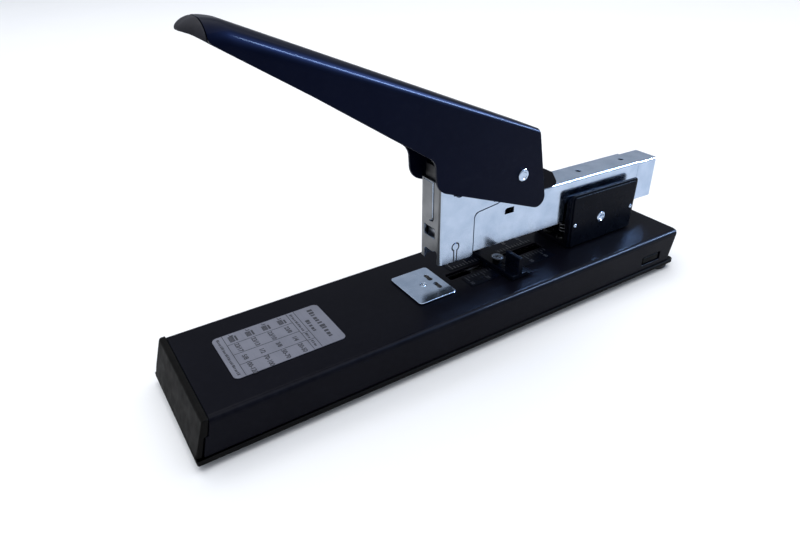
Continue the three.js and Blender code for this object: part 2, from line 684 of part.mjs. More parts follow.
function handlePin() {
  const { radius, head, thick } = HANDLE_PIN;
  const seat = HANDLE_HALF + 0.2;
  const heads = [-1, 1].map((hand) => barY(head, PIN_U, PIN_W, ...span(hand, seat, seat + thick)));
  return join(barY(radius, PIN_U, PIN_W, -seat, seat), ...heads);
}

// ---------------------------------------------------------------- handle
const HANDLE_BEND = 4;
const PRESS_BAR_HALF = 10.4;
const STUB = { half: 9.8, under: 2.2, rear: -90 };
const GRIP_SCREW = { radius: 1.1, hole: 1.3, length: 5, top: BROW_FRONT_Z - 4.9 };
const ridgeSlope = (RIDGE_REAR_Z - RIDGE_FRONT_Z) / (HANDLE_REAR - HANDLE_FRONT);
const ridgeAt = (x) => RIDGE_FRONT_Z + (x - HANDLE_FRONT) * ridgeSlope;

function handleShell() {
  const side = [
    [HANDLE_FRONT, 156.3],
    [-14.3, 94.2, 8],
    [-13.8, 80, 8],
    [54.6, 53.1, 5],
    [HANDLE_REAR, RIDGE_REAR_Z, 2],
    [BROW_X, ridgeAt(BROW_X)],
    [HANDLE_FRONT, BROW_FRONT_Z],
  ];
  const sheet = STEEL / Math.cos(Math.atan(ridgeSlope));
  const room = [
    [HANDLE_FRONT - 1, 0],
    [100, 0],
    [100, ridgeAt(100) - sheet],
    [BROW_X, ridgeAt(BROW_X) - sheet],
    [HANDLE_FRONT - 1, BROW_FRONT_Z - sheet],
  ];
  const inside = HANDLE_HALF - STEEL;
  // The bend along both long edges: the ridge's own section, laid along the slope.
  const length = 400;
  const depth = 150;
  const section = [
    [-HANDLE_HALF, -depth],
    [HANDLE_HALF, -depth],
    [HANDLE_HALF, 0, HANDLE_BEND],
    [-HANDLE_HALF, 0, HANDLE_BEND],
  ];
  const slope = new THREE.Matrix4()
    .makeTranslation(HANDLE_FRONT, 0, RIDGE_FRONT_Z)
    .multiply(new THREE.Matrix4().makeRotationY(-Math.atan(ridgeSlope)));
  const bend = alongX(section, -length / 2, length).transform(slope.toArray());
  return cut(
    acrossY(side, -HANDLE_HALF, HANDLE_HALF, 8).intersect(bend),
    acrossY(room, -inside, inside),
    barY(HANDLE_PIN.hole, HANDLE_PIN_X, HANDLE_PIN_Z, -BASE_HALF, BASE_HALF),
  );
}

// Welded between the handle's two walls, it bears on the plunger.
const pressBar = () => barY(PRESS_BAR_RADIUS, PRESS_BAR_X, PRESS_BAR_Z, -PRESS_BAR_HALF, PRESS_BAR_HALF);

function gripTip() {
  const bill = [
    [HANDLE_FRONT - GAP, 156.6],
    [HANDLE_FRONT - GAP, BROW_FRONT_Z],
    [-108, 163.6, 3],
    [TIP_FRONT, 160.8],
    [TIP_FRONT, 159.8],
    [-107.5, 158.4, 3],
  ];
  const plan = [
    [TIP_FRONT, -HANDLE_HALF, 11],
    [0, -HANDLE_HALF],
    [0, HANDLE_HALF],
    [TIP_FRONT, HANDLE_HALF, 11],
  ];
  const outside = acrossY(bill, -HANDLE_HALF, HANDLE_HALF).intersect(alongZ(plan, 100, 200));
  const { half, under, rear } = STUB;
  const insert = [
    [BROW_X, ridgeAt(BROW_X) - under],
    [rear, ridgeAt(rear) - under],
    [rear, 153.2],
    [HANDLE_FRONT - 1, 158.5],
    [HANDLE_FRONT - 1, BROW_FRONT_Z - under],
  ];
  const stub = acrossY(insert, -half, half);
  return cut(join(outside, stub), barZ(GRIP_SCREW.hole, GRIP_SCREW_X, 0, 140, 170, 16));
}

function gripScrew() {
  const { radius, length, top } = GRIP_SCREW;
  return turned([[radius, top - length], [radius, top]], GRIP_SCREW_X, 0, 16);
}

// ---------------------------------------------------------------- the object
const SIDES = [["left", 1], ["right", -1]];
const ENDS = ["front", "rear"];

function baseGroup() {
  const group = new THREE.Group();
  group.add(
    piece("base_cover", baseCover(), BLACK_PAINT),
    piece("base_tray", baseTray(), BLACK_PLASTIC),
    piece("front_cap", frontCap(), BLACK_PLASTIC),
    piece("base_spine", baseSpine(), PLAIN_STEEL),
    piece("label_plate", labelPlate(), LABEL_FILM),
    piece("pivot_bracket", pivotBracket(), BLACK_PAINT),
    piece("pivot_pin", pivotPin(), BRIGHT_STEEL),
    piece("lift_spring", liftSpring(), PLAIN_STEEL),
  );
  for (const [side, hand] of SIDES) {
    group.add(piece(`scale_strip_${side}`, scaleStrip(hand), BLACK_PLASTIC));
    group.add(piece(`bracket_cover_${side}`, bracketCover(hand), BLACK_PLASTIC));
    RIVETS.forEach((x, i) =>
      group.add(piece(`bracket_rivet_${side}_${ENDS[i]}`, bracketRivet(x, hand), BRIGHT_STEEL)),
    );
    FEET.forEach(([x, y], i) =>
      group.add(piece(`rubber_foot_${side}_${ENDS[i]}`, rubberFoot(x, hand * y), RUBBER)),
    );
  }
  boltPlaces.forEach(([x, y]) => {
    const name = `bracket_bolt_${y > 0 ? "left" : "right"}_${x < PIVOT_X ? "front" : "rear"}`;
    group.add(piece(name, bracketBolt(x, y), PLAIN_STEEL));
  });
  screwPlaces.forEach((x, i) =>
    group.add(piece(`tray_screw_${i + 1}`, trayScrew(x), PLAIN_STEEL)),
  );
  return group;
}

function anvilGroup() {
  return new THREE.Group().add(
    piece("anvil_plate", anvilPlate(), BRIGHT_STEEL),
    piece("anvil_pin", anvilPin(), BRIGHT_STEEL),
  );
}

function guideGroup() {
  return new THREE.Group().add(
    piece("guide_bar", guideBar(), BLACK_PLASTIC),
    piece("guide_lock_knob", guideKnob(), BRIGHT_STEEL),
    piece("guide_clamp_plate", guideClampPlate(), PLAIN_STEEL),
    piece("guide_clamp_screw", guideClampScrew(), PLAIN_STEEL),
  );
}

function magazineGroup() {
  const group = new THREE.Group().add(
    piece("magazine_sleeve", magazineSleeve(), BRIGHT_STEEL),
    piece("head_housing", headHousing(), BRIGHT_STEEL),
    piece("bottom_rail", bottomRail(), PLAIN_STEEL),
    piece("staple_track", stapleTrack(), PLAIN_STEEL),
    piece("track_end", trackEnd(), BRIGHT_STEEL),
    piece("pusher_rod", pusherRod(), PLAIN_STEEL),
    piece("pusher_spring", pusherSpring(), PLAIN_STEEL),
    piece("pusher", pusher(), PLAIN_STEEL),
    piece("driver_blade", driverBlade(), PLAIN_STEEL),
    piece("plunger", plunger(), BRIGHT_STEEL),
    piece("driver_spring", driverSpring(), PLAIN_STEEL),
    piece("fulcrum_bracket", fulcrumBracket(), BLACK_PAINT),
    piece("handle_pin", handlePin(), BRIGHT_STEEL),
  );
  group.position.set(PIVOT_X, 0, PIVOT_Z);
  group.rotation.y = PITCH;
  return group;
}

function handleGroup() {
  return new THREE.Group().add(
    piece("handle_shell", handleShell(), NAVY_PAINT),
    piece("press_bar", pressBar(), PLAIN_STEEL),
    piece("grip_tip", gripTip(), GREY_PLASTIC),
    piece("grip_screw", gripScrew(), BRIGHT_STEEL),
  );
}

const stapler = new THREE.Group();
stapler.add(baseGroup(), anvilGroup(), guideGroup(), magazineGroup(), handleGroup());

export default stapler;
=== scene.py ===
# Looks of the long-base desk stapler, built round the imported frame.
# Lengths are millimetres until a mesh is made. The base runs along X (+X to the rear), +Z is up.
# The magazine has its own frame: origin on the pivot pin, u to the rear and w up, pitched with it.
import math

import bmesh
import bpy
from mathutils import Matrix, Vector


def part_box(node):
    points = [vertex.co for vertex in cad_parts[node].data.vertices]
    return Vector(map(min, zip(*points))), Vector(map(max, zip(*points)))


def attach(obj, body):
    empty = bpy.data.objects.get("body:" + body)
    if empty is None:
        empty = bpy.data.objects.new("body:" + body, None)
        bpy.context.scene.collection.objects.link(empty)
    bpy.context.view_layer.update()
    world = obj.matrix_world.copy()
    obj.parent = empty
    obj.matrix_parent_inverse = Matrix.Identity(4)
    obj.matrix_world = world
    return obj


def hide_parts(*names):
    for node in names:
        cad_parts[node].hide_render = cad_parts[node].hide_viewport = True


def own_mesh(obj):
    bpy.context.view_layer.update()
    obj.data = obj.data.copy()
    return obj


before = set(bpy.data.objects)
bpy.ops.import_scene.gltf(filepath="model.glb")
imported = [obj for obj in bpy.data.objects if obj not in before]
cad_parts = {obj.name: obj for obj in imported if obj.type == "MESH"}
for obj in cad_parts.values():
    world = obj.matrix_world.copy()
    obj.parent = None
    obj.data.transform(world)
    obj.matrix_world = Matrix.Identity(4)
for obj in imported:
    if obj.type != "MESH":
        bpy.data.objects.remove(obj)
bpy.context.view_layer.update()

MM = 0.001
SHEET = 1.5
BASE_TOP = 24.0
BASE_HALF = 33.0
WALL_REAR = 139.8
MAG_HALF = 8.4
MAG_TOP = 24.2
HEAD_FRONT = -106.5
HEAD_REAR = -86.0
HEAD_TOP = 38.2
HANDLE_HALF = 12.0
HANDLE_FRONT = -105.0
TIP_FRONT = -111.8
RIDGE_SLOPE = -0.4495
RIDGE_FRONT_Z = 165.6
BROW_X = -97.0
BROW_FRONT_Z = 163.7
PIVOT = Vector((96.0, 0.0, 38.0))
PITCH = math.radians(1.5)
MAGAZINE = Matrix.Translation(PIVOT) @ Matrix.Rotation(PITCH, 4, "Y")
HANDS = (("left", 1), ("right", -1))
GAP = 0.3
MAG_SHEET = 1.2
ANVIL_PIN = (-14.5, 0)
KNOB = (28.3, -6.3)
DRIVER_SPRING_FOOT = (-95.5, 0, 16.5)
LIFT_SPRING_FOOT = (84, 0, 27)
HANDLE_PIN = (-59.9, 36.7)  # in the magazine's frame
HANDLE_PIN_ROW = (37.1, 76.3)
KEYHOLE = (-96.8, 5.9)


# ------------------------------------------------------------------ mesh making
def outline(corners, steps=8):
    """A closed outline from corners (a, b) or (a, b, radius), as a list of points."""
    points = []
    for i, corner in enumerate(corners):
        here = Vector(corner[:2])
        radius = corner[2] if len(corner) > 2 else 0
        if not radius:
            points.append(here)
            continue
        back = (Vector(corners[i - 1][:2]) - here).normalized()
        ahead = (Vector(corners[(i + 1) % len(corners)][:2]) - here).normalized()
        half = back.angle(ahead) / 2
        centre = here + (back + ahead).normalized() * radius / math.sin(half)
        spoke = here + back * radius / math.tan(half) - centre
        turn = spoke.angle_signed(here + ahead * radius / math.tan(half) - centre)
        for k in range(steps + 1):
            points.append(centre + Matrix.Rotation(-turn * k / steps, 2) @ spoke)
    return points


def rectangle(a0, a1, b0, b1, radius=0):
    return [(a0, b0, radius), (a1, b0, radius), (a1, b1, radius), (a0, b1, radius)]


def to_object(name, bm):
    bmesh.ops.recalc_face_normals(bm, faces=bm.faces)
    mesh = bpy.data.meshes.new(name)
    bm.to_mesh(mesh)
    bm.free()
    obj = bpy.data.objects.new(name, mesh)
    bpy.context.scene.collection.objects.link(obj)
    return obj


def skin(name, rings, closed=True):
    """A solid through a row of rings of equal length, each a list of points in millimetres."""
    bm = bmesh.new()
    loops = [[bm.verts.new(Vector(p) * MM) for p in ring] for ring in rings]
    count = len(loops[0])
    for first, second in zip(loops, loops[1:]):
        for i in range(count):
            j = (i + 1) % count
            bm.faces.new((first[i], first[j], second[j], second[i]))
    if closed:
        bm.faces.new(loops[0])
        bm.faces.new(list(reversed(loops[-1])))
    return to_object(name, bm)


def prism(corners, axis, low, high, steps=8, name="solid"):
    """The outline lies across the axis X, Y or Z, and runs from low to high along it."""
    lay = {
        "X": lambda p, t: (t, p[0], p[1]),
        "Y": lambda p, t: (p[0], t, p[1]),
        "Z": lambda p, t: (p[0], p[1], t),
    }[axis]
    points = outline(corners, steps)
    return skin(name, [[lay(p, t) for p in points] for t in (low, high)])


def block(x0, x1, y0, y1, z0, z1):
    return prism(rectangle(x0, x1, y0, y1), "Z", z0, z1)


def both(hand, near, far):
    """The two Y limits of a piece on one side of the middle, low one first."""
    return sorted((hand * near, hand * far))


def lathe(steps, place, axis="Z", sides=48, name="turned"):
    """A turned piece from (radius, height) steps that start and end on the axis."""
    bm = bmesh.new()
    rings = []
    for radius, height in steps:
        if radius == 0:
            rings.append([bm.verts.new((0, 0, height * MM))])
            continue
        angles = [2 * math.pi * k / sides for k in range(sides)]
        rings.append(
            [
                bm.verts.new((radius * math.cos(a) * MM, radius * math.sin(a) * MM, height * MM))
                for a in angles
            ]
        )
    for first, second in zip(rings, rings[1:]):
        for i in range(sides):
            j = (i + 1) % sides
            quad = [first[i % len(first)], first[j % len(first)]]
            quad += [second[j % len(second)], second[i % len(second)]]
            corners = list(dict.fromkeys(quad))
            if len(corners) > 2:
                bm.faces.new(corners)
    turn = {
        "Z": Matrix.Identity(4),
        "Y": Matrix.Rotation(-math.pi / 2, 4, "X"),
        "-Y": Matrix.Rotation(math.pi / 2, 4, "X"),
        "X": Matrix.Rotation(math.pi / 2, 4, "Y"),
        "-Z": Matrix.Rotation(math.pi, 4, "X"),
    }[axis]
    bm.transform(Matrix.Translation(Vector(place) * MM) @ turn)
    return to_object(name, bm)


def bar(radius, place, length, axis="Z", sides=48):
    """A plain round bar, for cutting and joining."""
    return lathe([(0, 0), (radius, 0), (radius, length), (0, length)], place, axis, sides)


def coil(name, radius, wire, length, turns, dead=0.75):
    """A compression spring along Z with closely wound ends."""
    height = length - 2 * wire
    per_turn = 28
    total = turns * per_turn
    rings = []
    for k in range(total + 1):
        turn = k / per_turn
        live = min(max((turn - dead) / (turns - 2 * dead), 0), 1)
        flat = 2 * wire * dead / height
        if turn < dead:
            rise = flat * turn / dead
        elif turn > turns - dead:
            rise = 1 - flat * (turns - turn) / dead
        else:
            rise = flat + (1 - 2 * flat) * live
        angle = 2 * math.pi * turn
        spoke = Vector((math.cos(angle), math.sin(angle), 0))
        centre = spoke * radius + Vector((0, 0, wire + rise * height))
        rings.append(
            [
                centre
                + spoke * wire * math.cos(2 * math.pi * s / 10)
                + Vector((0, 0, wire * math.sin(2 * math.pi * s / 10)))
                for s in range(10)
            ]
        )
    return skin(name, rings)


# ------------------------------------------------------------------ joining and finishing
def bake_modifiers(obj):
    """Turns an object's modifiers into its mesh."""
    graph = bpy.context.evaluated_depsgraph_get()
    mesh = bpy.data.meshes.new_from_object(obj.evaluated_get(graph))
    obj.modifiers.clear()
    obj.data = mesh
    return obj


def combine(body, tools, operation):
    for tool in tools:
        step = body.modifiers.new(operation, "BOOLEAN")
        step.operation = operation
        step.solver = "EXACT"
        step.object = tool
        bake_modifiers(body)
        bpy.data.objects.remove(tool)
    return body


def join(body, *tools):
    return combine(body, tools, "UNION")


def cut(body, *tools):
    return combine(body, tools, "DIFFERENCE")


def meet(body, *tools):
    return combine(body, tools, "INTERSECT")


def tidy(obj):
    """Merges doubled points and dissolves the seams that lie inside a flat face."""
    bm = bmesh.new()
    bm.from_mesh(obj.data)
    bmesh.ops.remove_doubles(bm, verts=bm.verts, dist=0.002 * MM)
    flat = math.radians(0.4)
    bmesh.ops.dissolve_limit(bm, angle_limit=flat, verts=bm.verts, edges=bm.edges)
    bmesh.ops.recalc_face_normals(bm, faces=bm.faces)
    bm.to_mesh(obj.data)
    bm.free()
    return obj


def soften(obj, width=0.25, segments=2, angle=32):
    """Rounds the sharp edges and shades the curved faces smoothly."""
    tidy(obj)
    if width:
        rounding = obj.modifiers.new("edges", "BEVEL")
        rounding.width = width * MM
        rounding.segments = segments
        rounding.limit_method = "ANGLE"
        rounding.angle_limit = math.radians(angle)
        rounding.use_clamp_overlap = False
        rounding.miter_outer = "MITER_ARC"
        bake_modifiers(obj)
    obj.data.shade_smooth()
    obj.data.set_sharp_from_angle(angle=math.radians(40))
    weighting = obj.modifiers.new("normals", "WEIGHTED_NORMAL")
    weighting.keep_sharp = True
    return bake_modifiers(obj)


def in_magazine(obj):
    """Moves a mesh from the magazine's own frame to the stapler's."""
    scale = Matrix.Scale(MM, 4)
    obj.data.transform(scale @ MAGAZINE @ scale.inverted())
    return obj


def merged(name, parts):
    """One mesh holding several separate solids."""
    bm = bmesh.new()
    for part in parts:
        bm.from_mesh(part.data)
        bpy.data.objects.remove(part)
    mesh = bpy.data.meshes.new(name)
    bm.to_mesh(mesh)
    bm.free()
    obj = bpy.data.objects.new(name, mesh)
    bpy.context.scene.collection.objects.link(obj)
    return obj


# ------------------------------------------------------------------ materials
class Surface:
    """A Principled material with a few procedural layers over the object's own coordinates."""

    def __init__(self, name, metallic=0.0, specular=0.5, coat=0.0, coat_roughness=0.1):
        self.material = bpy.data.materials.new(name)
        self.material.use_nodes = True
        self.tree = self.material.node_tree
        self.shader = self.tree.nodes["Principled BSDF"]
        self.shader.inputs["Metallic"].default_value = metallic
        self.shader.inputs["Specular IOR Level"].default_value = specular
        self.shader.inputs["Coat Weight"].default_value = coat
        self.shader.inputs["Coat Roughness"].default_value = coat_roughness
        self.place = self.tree.nodes.new("ShaderNodeTexCoord").outputs["Object"]

    def link(self, a, b):
        self.tree.links.new(a, b)

    def noise(self, size, detail=3.0, stretch=(1, 1, 1), roughness=0.5):
        """Soft noise with features of about this size in millimetres, from 0 to 1."""
        mapping = self.tree.nodes.new("ShaderNodeMapping")
        mapping.inputs["Scale"].default_value = stretch
        node = self.tree.nodes.new("ShaderNodeTexNoise")
        node.inputs["Scale"].default_value = 1 / (size * MM)
        node.inputs["Detail"].default_value = detail
        node.inputs["Roughness"].default_value = roughness
        self.link(self.place, mapping.inputs["Vector"])
        self.link(mapping.outputs["Vector"], node.inputs["Vector"])
        return node.outputs["Fac"]

    def edges(self, low=0.505, high=0.56):
        """1 along convex edges and 0 elsewhere."""
        point = self.tree.nodes.new("ShaderNodeNewGeometry").outputs["Pointiness"]
        return self.spread(point, low, high, 0, 1)

    def spread(self, value, low, high, to_low, to_high):
        node = self.tree.nodes.new("ShaderNodeMapRange")
        for socket, number in (
            ("From Min", low),
            ("From Max", high),
            ("To Min", to_low),
            ("To Max", to_high),
        ):
            node.inputs[socket].default_value = number
        self.link(value, node.inputs["Value"])
        return node.outputs["Result"]

    def times(self, a, b):
        node = self.tree.nodes.new("ShaderNodeMath")
        node.operation = "MULTIPLY"
        self.link(a, node.inputs[0])
        self.link(b, node.inputs[1])
        return node.outputs[0]

    def blend(self, share, first, second):
        """A colour between two, by share. Each colour is a socket or three numbers."""
        node = self.tree.nodes.new("ShaderNodeMix")
        node.data_type = "RGBA"
        for socket, colour in ((node.inputs[6], first), (node.inputs[7], second)):
            if isinstance(colour, tuple):
                socket.default_value = (*colour, 1)
            else:
                self.link(colour, socket)
        self.link(share, node.inputs[0])
        return node.outputs[2]

    def colour(self, socket):
        self.link(socket, self.shader.inputs["Base Color"])

    def roughness(self, socket):
        self.link(socket, self.shader.inputs["Roughness"])

    def relief(self, *layers):
        """Stacked bump layers, each (height socket, depth in millimetres)."""
        normal = None
        for height, depth in layers:
            node = self.tree.nodes.new("ShaderNodeBump")
            node.inputs["Distance"].default_value = depth * MM
            self.link(height, node.inputs["Height"])
            if normal:
                self.link(normal, node.inputs["Normal"])
            normal = node.outputs["Normal"]
        self.link(normal, self.shader.inputs["Normal"])


def paint(name, dark, light, worn, gloss, specular, coat, tint, peel):
    """Stoved paint: soft clouding, orange peel, dust and slightly rubbed edges."""
    s = Surface(name, specular=specular, coat=coat, coat_roughness=0.09)
    s.shader.inputs["Specular Tint"].default_value = (*tint, 1)
    cloud = s.spread(s.noise(38, 4), 0.35, 0.68, 0, 1)
    dust = s.spread(s.noise(0.45, 2), 0.72, 0.82, 0, 0.06)
    rub = s.times(s.edges(), s.spread(s.noise(2.6, 5), 0.45, 0.75, 0, 0.22))
    body = s.blend(cloud, dark, light)
    s.colour(s.blend(rub, s.blend(dust, body, worn), worn))
    s.roughness(s.spread(s.noise(17, 5), 0.3, 0.7, gloss - 0.05, gloss + 0.08))
    s.relief((s.noise(2.2, 1), peel), (s.noise(30, 1), peel * 6))
    return s.material


def plastic(name, dark, light, rough, grain):
    """Moulded plastic with a fine spark-eroded grain."""
    s = Surface(name, specular=0.035)
    cloud = s.spread(s.noise(14, 4), 0.35, 0.68, 0, 1)
    rub = s.times(s.edges(), s.spread(s.noise(1.8, 4), 0.4, 0.7, 0, 0.3))
    worn = tuple(min(1, c * 2.4) for c in light)
    s.colour(s.blend(rub, s.blend(cloud, dark, light), worn))
    s.roughness(s.spread(s.noise(5, 4), 0.3, 0.7, rough - 0.07, rough + 0.08))
    s.relief((s.noise(0.28, 2), grain), (s.noise(6, 2), grain * 1.5))
    return s.material


def metal(name, dark, light, low, high, drawn, wave):
    """Bare or plated steel: drawn lines along the sheet, smudges and a slight waviness."""
    s = Surface(name, metallic=1.0)
    cloud = s.spread(s.noise(9, 5), 0.32, 0.7, 0, 1)
    lines = s.noise(0.5, 3, stretch=(0.03, 1, 1))
    smudge = s.noise(5.5, 6, roughness=0.62)
    s.colour(s.blend(cloud, dark, light))
    s.roughness(s.spread(smudge, 0.34, 0.72, low, high))
    s.relief((lines, drawn), (s.noise(11, 1), wave))
    return s.material


def film(name):
    """Brushed silver label film."""
    s = Surface(name, metallic=0.25, specular=0.4)
    lines = s.noise(0.35, 3, stretch=(1, 0.04, 1))
    cloud = s.spread(s.noise(12, 4), 0.3, 0.7, 0, 1)
    body = s.blend(cloud, (0.115, 0.12, 0.152), (0.145, 0.15, 0.185))
    s.colour(s.blend(s.spread(lines, 0.3, 0.75, 0, 0.5), body, (0.18, 0.185, 0.22)))
    s.roughness(s.spread(lines, 0.3, 0.7, 0.38, 0.55))
    s.relief((lines, 0.004))
    return s.material


def ink(name, dark, light):
    s = Surface(name, specular=0.3)
    s.colour(s.blend(s.spread(s.noise(0.5, 4), 0.35, 0.75, 0, 1), dark, light))
    s.roughness(s.spread(s.noise(1.2, 2), 0.3, 0.7, 0.4, 0.6))
    s.relief((s.noise(0.2, 2), 0.004))
    return s.material


def rubber(name):
    s = Surface(name, specular=0.25)
    s.colour(s.blend(s.noise(3, 4), (0.012, 0.012, 0.013), (0.03, 0.029, 0.028)))
    s.roughness(s.spread(s.noise(0.8, 3), 0.3, 0.7, 0.72, 0.92))
    s.relief((s.noise(0.35, 3), 0.02))
    return s.material


FINISH = {
    "black_paint": paint(
        "black_paint", (0.0017, 0.0017, 0.0038), (0.0028, 0.0028, 0.0054), (0.012, 0.013, 0.018),
        0.36, 0.03, 0.05, (0.75, 0.8, 1.0), 0.0012,
    ),
    "navy_paint": paint(
        "navy_paint", (0.0004, 0.0009, 0.0052), (0.001, 0.0017, 0.0075), (0.01, 0.013, 0.022),
        0.36, 0.06, 0.04, (0.16, 0.3, 1.0), 0.001,
    ),
    "black_plastic": plastic(
        "black_plastic", (0.0026, 0.0024, 0.0023), (0.0046, 0.0043, 0.0040), 0.55, 0.002
    ),
    "guide_plastic": plastic(
        "guide_plastic", (0.0008, 0.0016, 0.0044), (0.0018, 0.0026, 0.0062), 0.3, 0.003
    ),
    "grey_plastic": plastic(
        "grey_plastic", (0.02, 0.02, 0.024), (0.03, 0.03, 0.036), 0.5, 0.008
    ),
    "bright_steel": metal(
        "bright_steel", (0.35, 0.43, 0.55), (0.45, 0.53, 0.65), 0.12, 0.26, 0.0008, 0.02
    ),
    # A darker, rougher copy of the bright steel: painted shade on the head's forward-facing faces, which face
    # away from the window light.
    "shaded_front_steel": metal(
        "shaded_front_steel", (0.15, 0.155, 0.162), (0.21, 0.215, 0.222), 0.3, 0.46, 0.003, 0.01
    ),
    # A blackened steel finish; inside the anvil's pockets and the head's hook groove it is painted shade.
    "dark_steel": metal(
        "dark_steel", (0.012, 0.012, 0.013), (0.05, 0.05, 0.052), 0.3, 0.45, 0.003, 0.01
    ),
    "plain_steel": metal(
        "plain_steel", (0.36, 0.37, 0.39), (0.47, 0.48, 0.5), 0.28, 0.46, 0.004, 0.01
    ),
    "spring_steel": metal(
        "spring_steel", (0.34, 0.34, 0.35), (0.44, 0.45, 0.46), 0.25, 0.4, 0.003, 0.002
    ),
    "label_film": film("label_film"),
    "label_ink": ink("label_ink", (0.014, 0.014, 0.02), (0.032, 0.032, 0.042)),
    "scale_ink": ink("scale_ink", (0.012, 0.013, 0.018), (0.024, 0.025, 0.032)),
    "rubber": rubber("rubber"),
}


def keep(obj, name, body, finish, slot, *nodes):
    """Names a finished piece, paints it, and puts it on its body in place of its CAD nodes."""
    obj.name = name
    obj.data.name = name
    obj.data.materials.clear()
    obj.data.materials.append(FINISH[finish])
    for face in obj.data.polygons:
        face.material_index = 0
    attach(obj, body)
    if nodes:
        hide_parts(*nodes)
    return obj


def second_finish(obj, finish, chosen):
    """Gives the faces that pass the test another finish."""
    obj.data.materials.append(FINISH[finish])
    for face in obj.data.polygons:
        if chosen(face):
            face.material_index = len(obj.data.materials) - 1


def refined(node, body, finish, slot, width=0.2, segments=2):
    """A copy of a CAD node with its edges rounded, its curves smooth and a real finish."""
    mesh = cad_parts[node].data.copy()
    obj = bpy.data.objects.new(node + "_fine", mesh)
    bpy.context.scene.collection.objects.link(obj)
    obj.matrix_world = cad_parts[node].matrix_world.copy()
    obj.data.transform(obj.matrix_world)
    obj.matrix_world = Matrix.Identity(4)
    soften(obj, width, segments)
    return keep(obj, node + "_fine", body, finish, slot, node)


# ------------------------------------------------------------------ camera and light
def camera():
    data = bpy.data.cameras.new("view")
    data.sensor_width = 36
    data.lens = 28.66
    data.clip_start = 0.01
    obj = bpy.data.objects.new("view", data)
    bpy.context.scene.collection.objects.link(obj)
    azimuth = math.radians(-31.03)
    rise = math.radians(30.89)
    roll = math.radians(-1.98)
    back = Vector(
        (
            math.sin(azimuth) * math.cos(rise),
            -math.cos(azimuth) * math.cos(rise),
            math.sin(rise),
        )
    )
    right = (-back).cross(Vector((0, 0, 1))).normalized()
    up = right.cross(-back)
    turned_right = right * math.cos(roll) + up * math.sin(roll)
    turned_up = up * math.cos(roll) - right * math.sin(roll)
    matrix = Matrix((turned_right, turned_up, back)).transposed().to_4x4()
    matrix.translation = Vector((-0.16618, -0.22975, 0.19716))
    obj.matrix_world = matrix
    bpy.context.scene.camera = obj


def softbox(name, direction, distance, size, power, colour, along=None):
    """A rectangular light aimed at the middle of the stapler, its long side lying along a direction."""
    data = bpy.data.lights.new(name, "AREA")
    data.shape = "RECTANGLE"
    data.size, data.size_y = size
    data.energy = power
    data.color = colour
    obj = bpy.data.objects.new(name, data)
    bpy.context.scene.collection.objects.link(obj)
    towards = Vector(direction).normalized()
    obj.location = Vector((0, 0, 0.05)) + towards * distance
    obj.rotation_mode = "QUATERNION"
    obj.rotation_quaternion = towards.to_track_quat("Z", "Y")
    if along:
        side = (Vector(along) - towards * towards.dot(Vector(along))).normalized()
        frame_axes = Matrix((side, towards.cross(side), towards)).transposed()
        obj.rotation_quaternion = frame_axes.to_quaternion()
    return obj


def studio():
    world = bpy.data.worlds.new("studio")
    bpy.context.scene.world = world
    world.use_nodes = True
    sky = world.node_tree.nodes["Background"]
    sky.inputs["Color"].default_value = (0.84, 0.9, 1.0, 1)
    sky.inputs["Strength"].default_value = 0.6
    softbox("overhead", (0.05, 0.1, 1), 1.7, (2.4, 2.4), 38, (1, 1, 1))
    strip_line = (0.4, 0.2, -0.42)
    window = softbox(
        "window", (0.766, -0.357, 0.535), 1.0, (0.62, 0.07), 40, (0.42, 0.62, 1), strip_line
    )
    window.visible_diffuse = False
    size = 6.0
    bpy.ops.mesh.primitive_plane_add(size=size, location=(0, 0, 0))
    floor = bpy.context.object
    floor.name = "floor"
    s = Surface("floor", specular=0.1)
    s.colour(s.blend(s.noise(160, 3), (0.86, 0.86, 0.865), (0.885, 0.885, 0.885)))
    s.roughness(s.spread(s.noise(60, 3), 0.3, 0.7, 0.7, 0.85))
    floor.data.materials.append(s.material)
    bpy.context.scene.view_settings.view_transform = "Standard"


# ------------------------------------------------------------------ base
def base_cover():
    lower_front = [(-141.9, 5), (-139.3, 15.6, 0.4), (-138, 15.9, 0.4), (-136.1, BASE_TOP + 1)]
    side = lower_front + [(150, BASE_TOP + 1), (150, 5)]
    section = [(-BASE_HALF, 6), (BASE_HALF, 6), (BASE_HALF, BASE_TOP, 3), (-BASE_HALF, BASE_TOP, 3)]
    rear_wall = ((WALL_REAR, 6), (143.5, 19.5), (143.9, 21), (143.4, 22.8), (142.2, 23.7), (141, BASE_TOP))
    levels = []
    for rear, height in rear_wall:
        plan = [(-150, -BASE_HALF), (rear, -BASE_HALF, 4.5), (rear, BASE_HALF, 4.5), (-150, BASE_HALF)]
        levels.append([(x, y, height) for x, y in outline(plan)])
    shell = meet(
        prism(side, "Y", -BASE_HALF - 1, BASE_HALF + 1),
        prism(section, "X", -200, 200),
        skin("plan", levels),
    )
    inside = BASE_HALF - SHEET
    hollow = [(-200, 0), (WALL_REAR - 2 * SHEET, 0), (143, BASE_TOP - SHEET, 1.5), (-200, BASE_TOP - SHEET)]
    cut(
        shell,
        prism(hollow, "Y", -inside, inside),
        prism(rectangle(1, 64, -3, 3, 0.8), "Z", 20, 30),
        prism(rectangle(113.7, 128.7, 9, 14.2, 0.7), "Y", -40, 40),
        bar(2, (*ANVIL_PIN, 20), 10),
    )
    keep(soften(shell, 0.3, 3), "base_cover_sheet", "base", "black_paint", "black_paint", "base_cover")


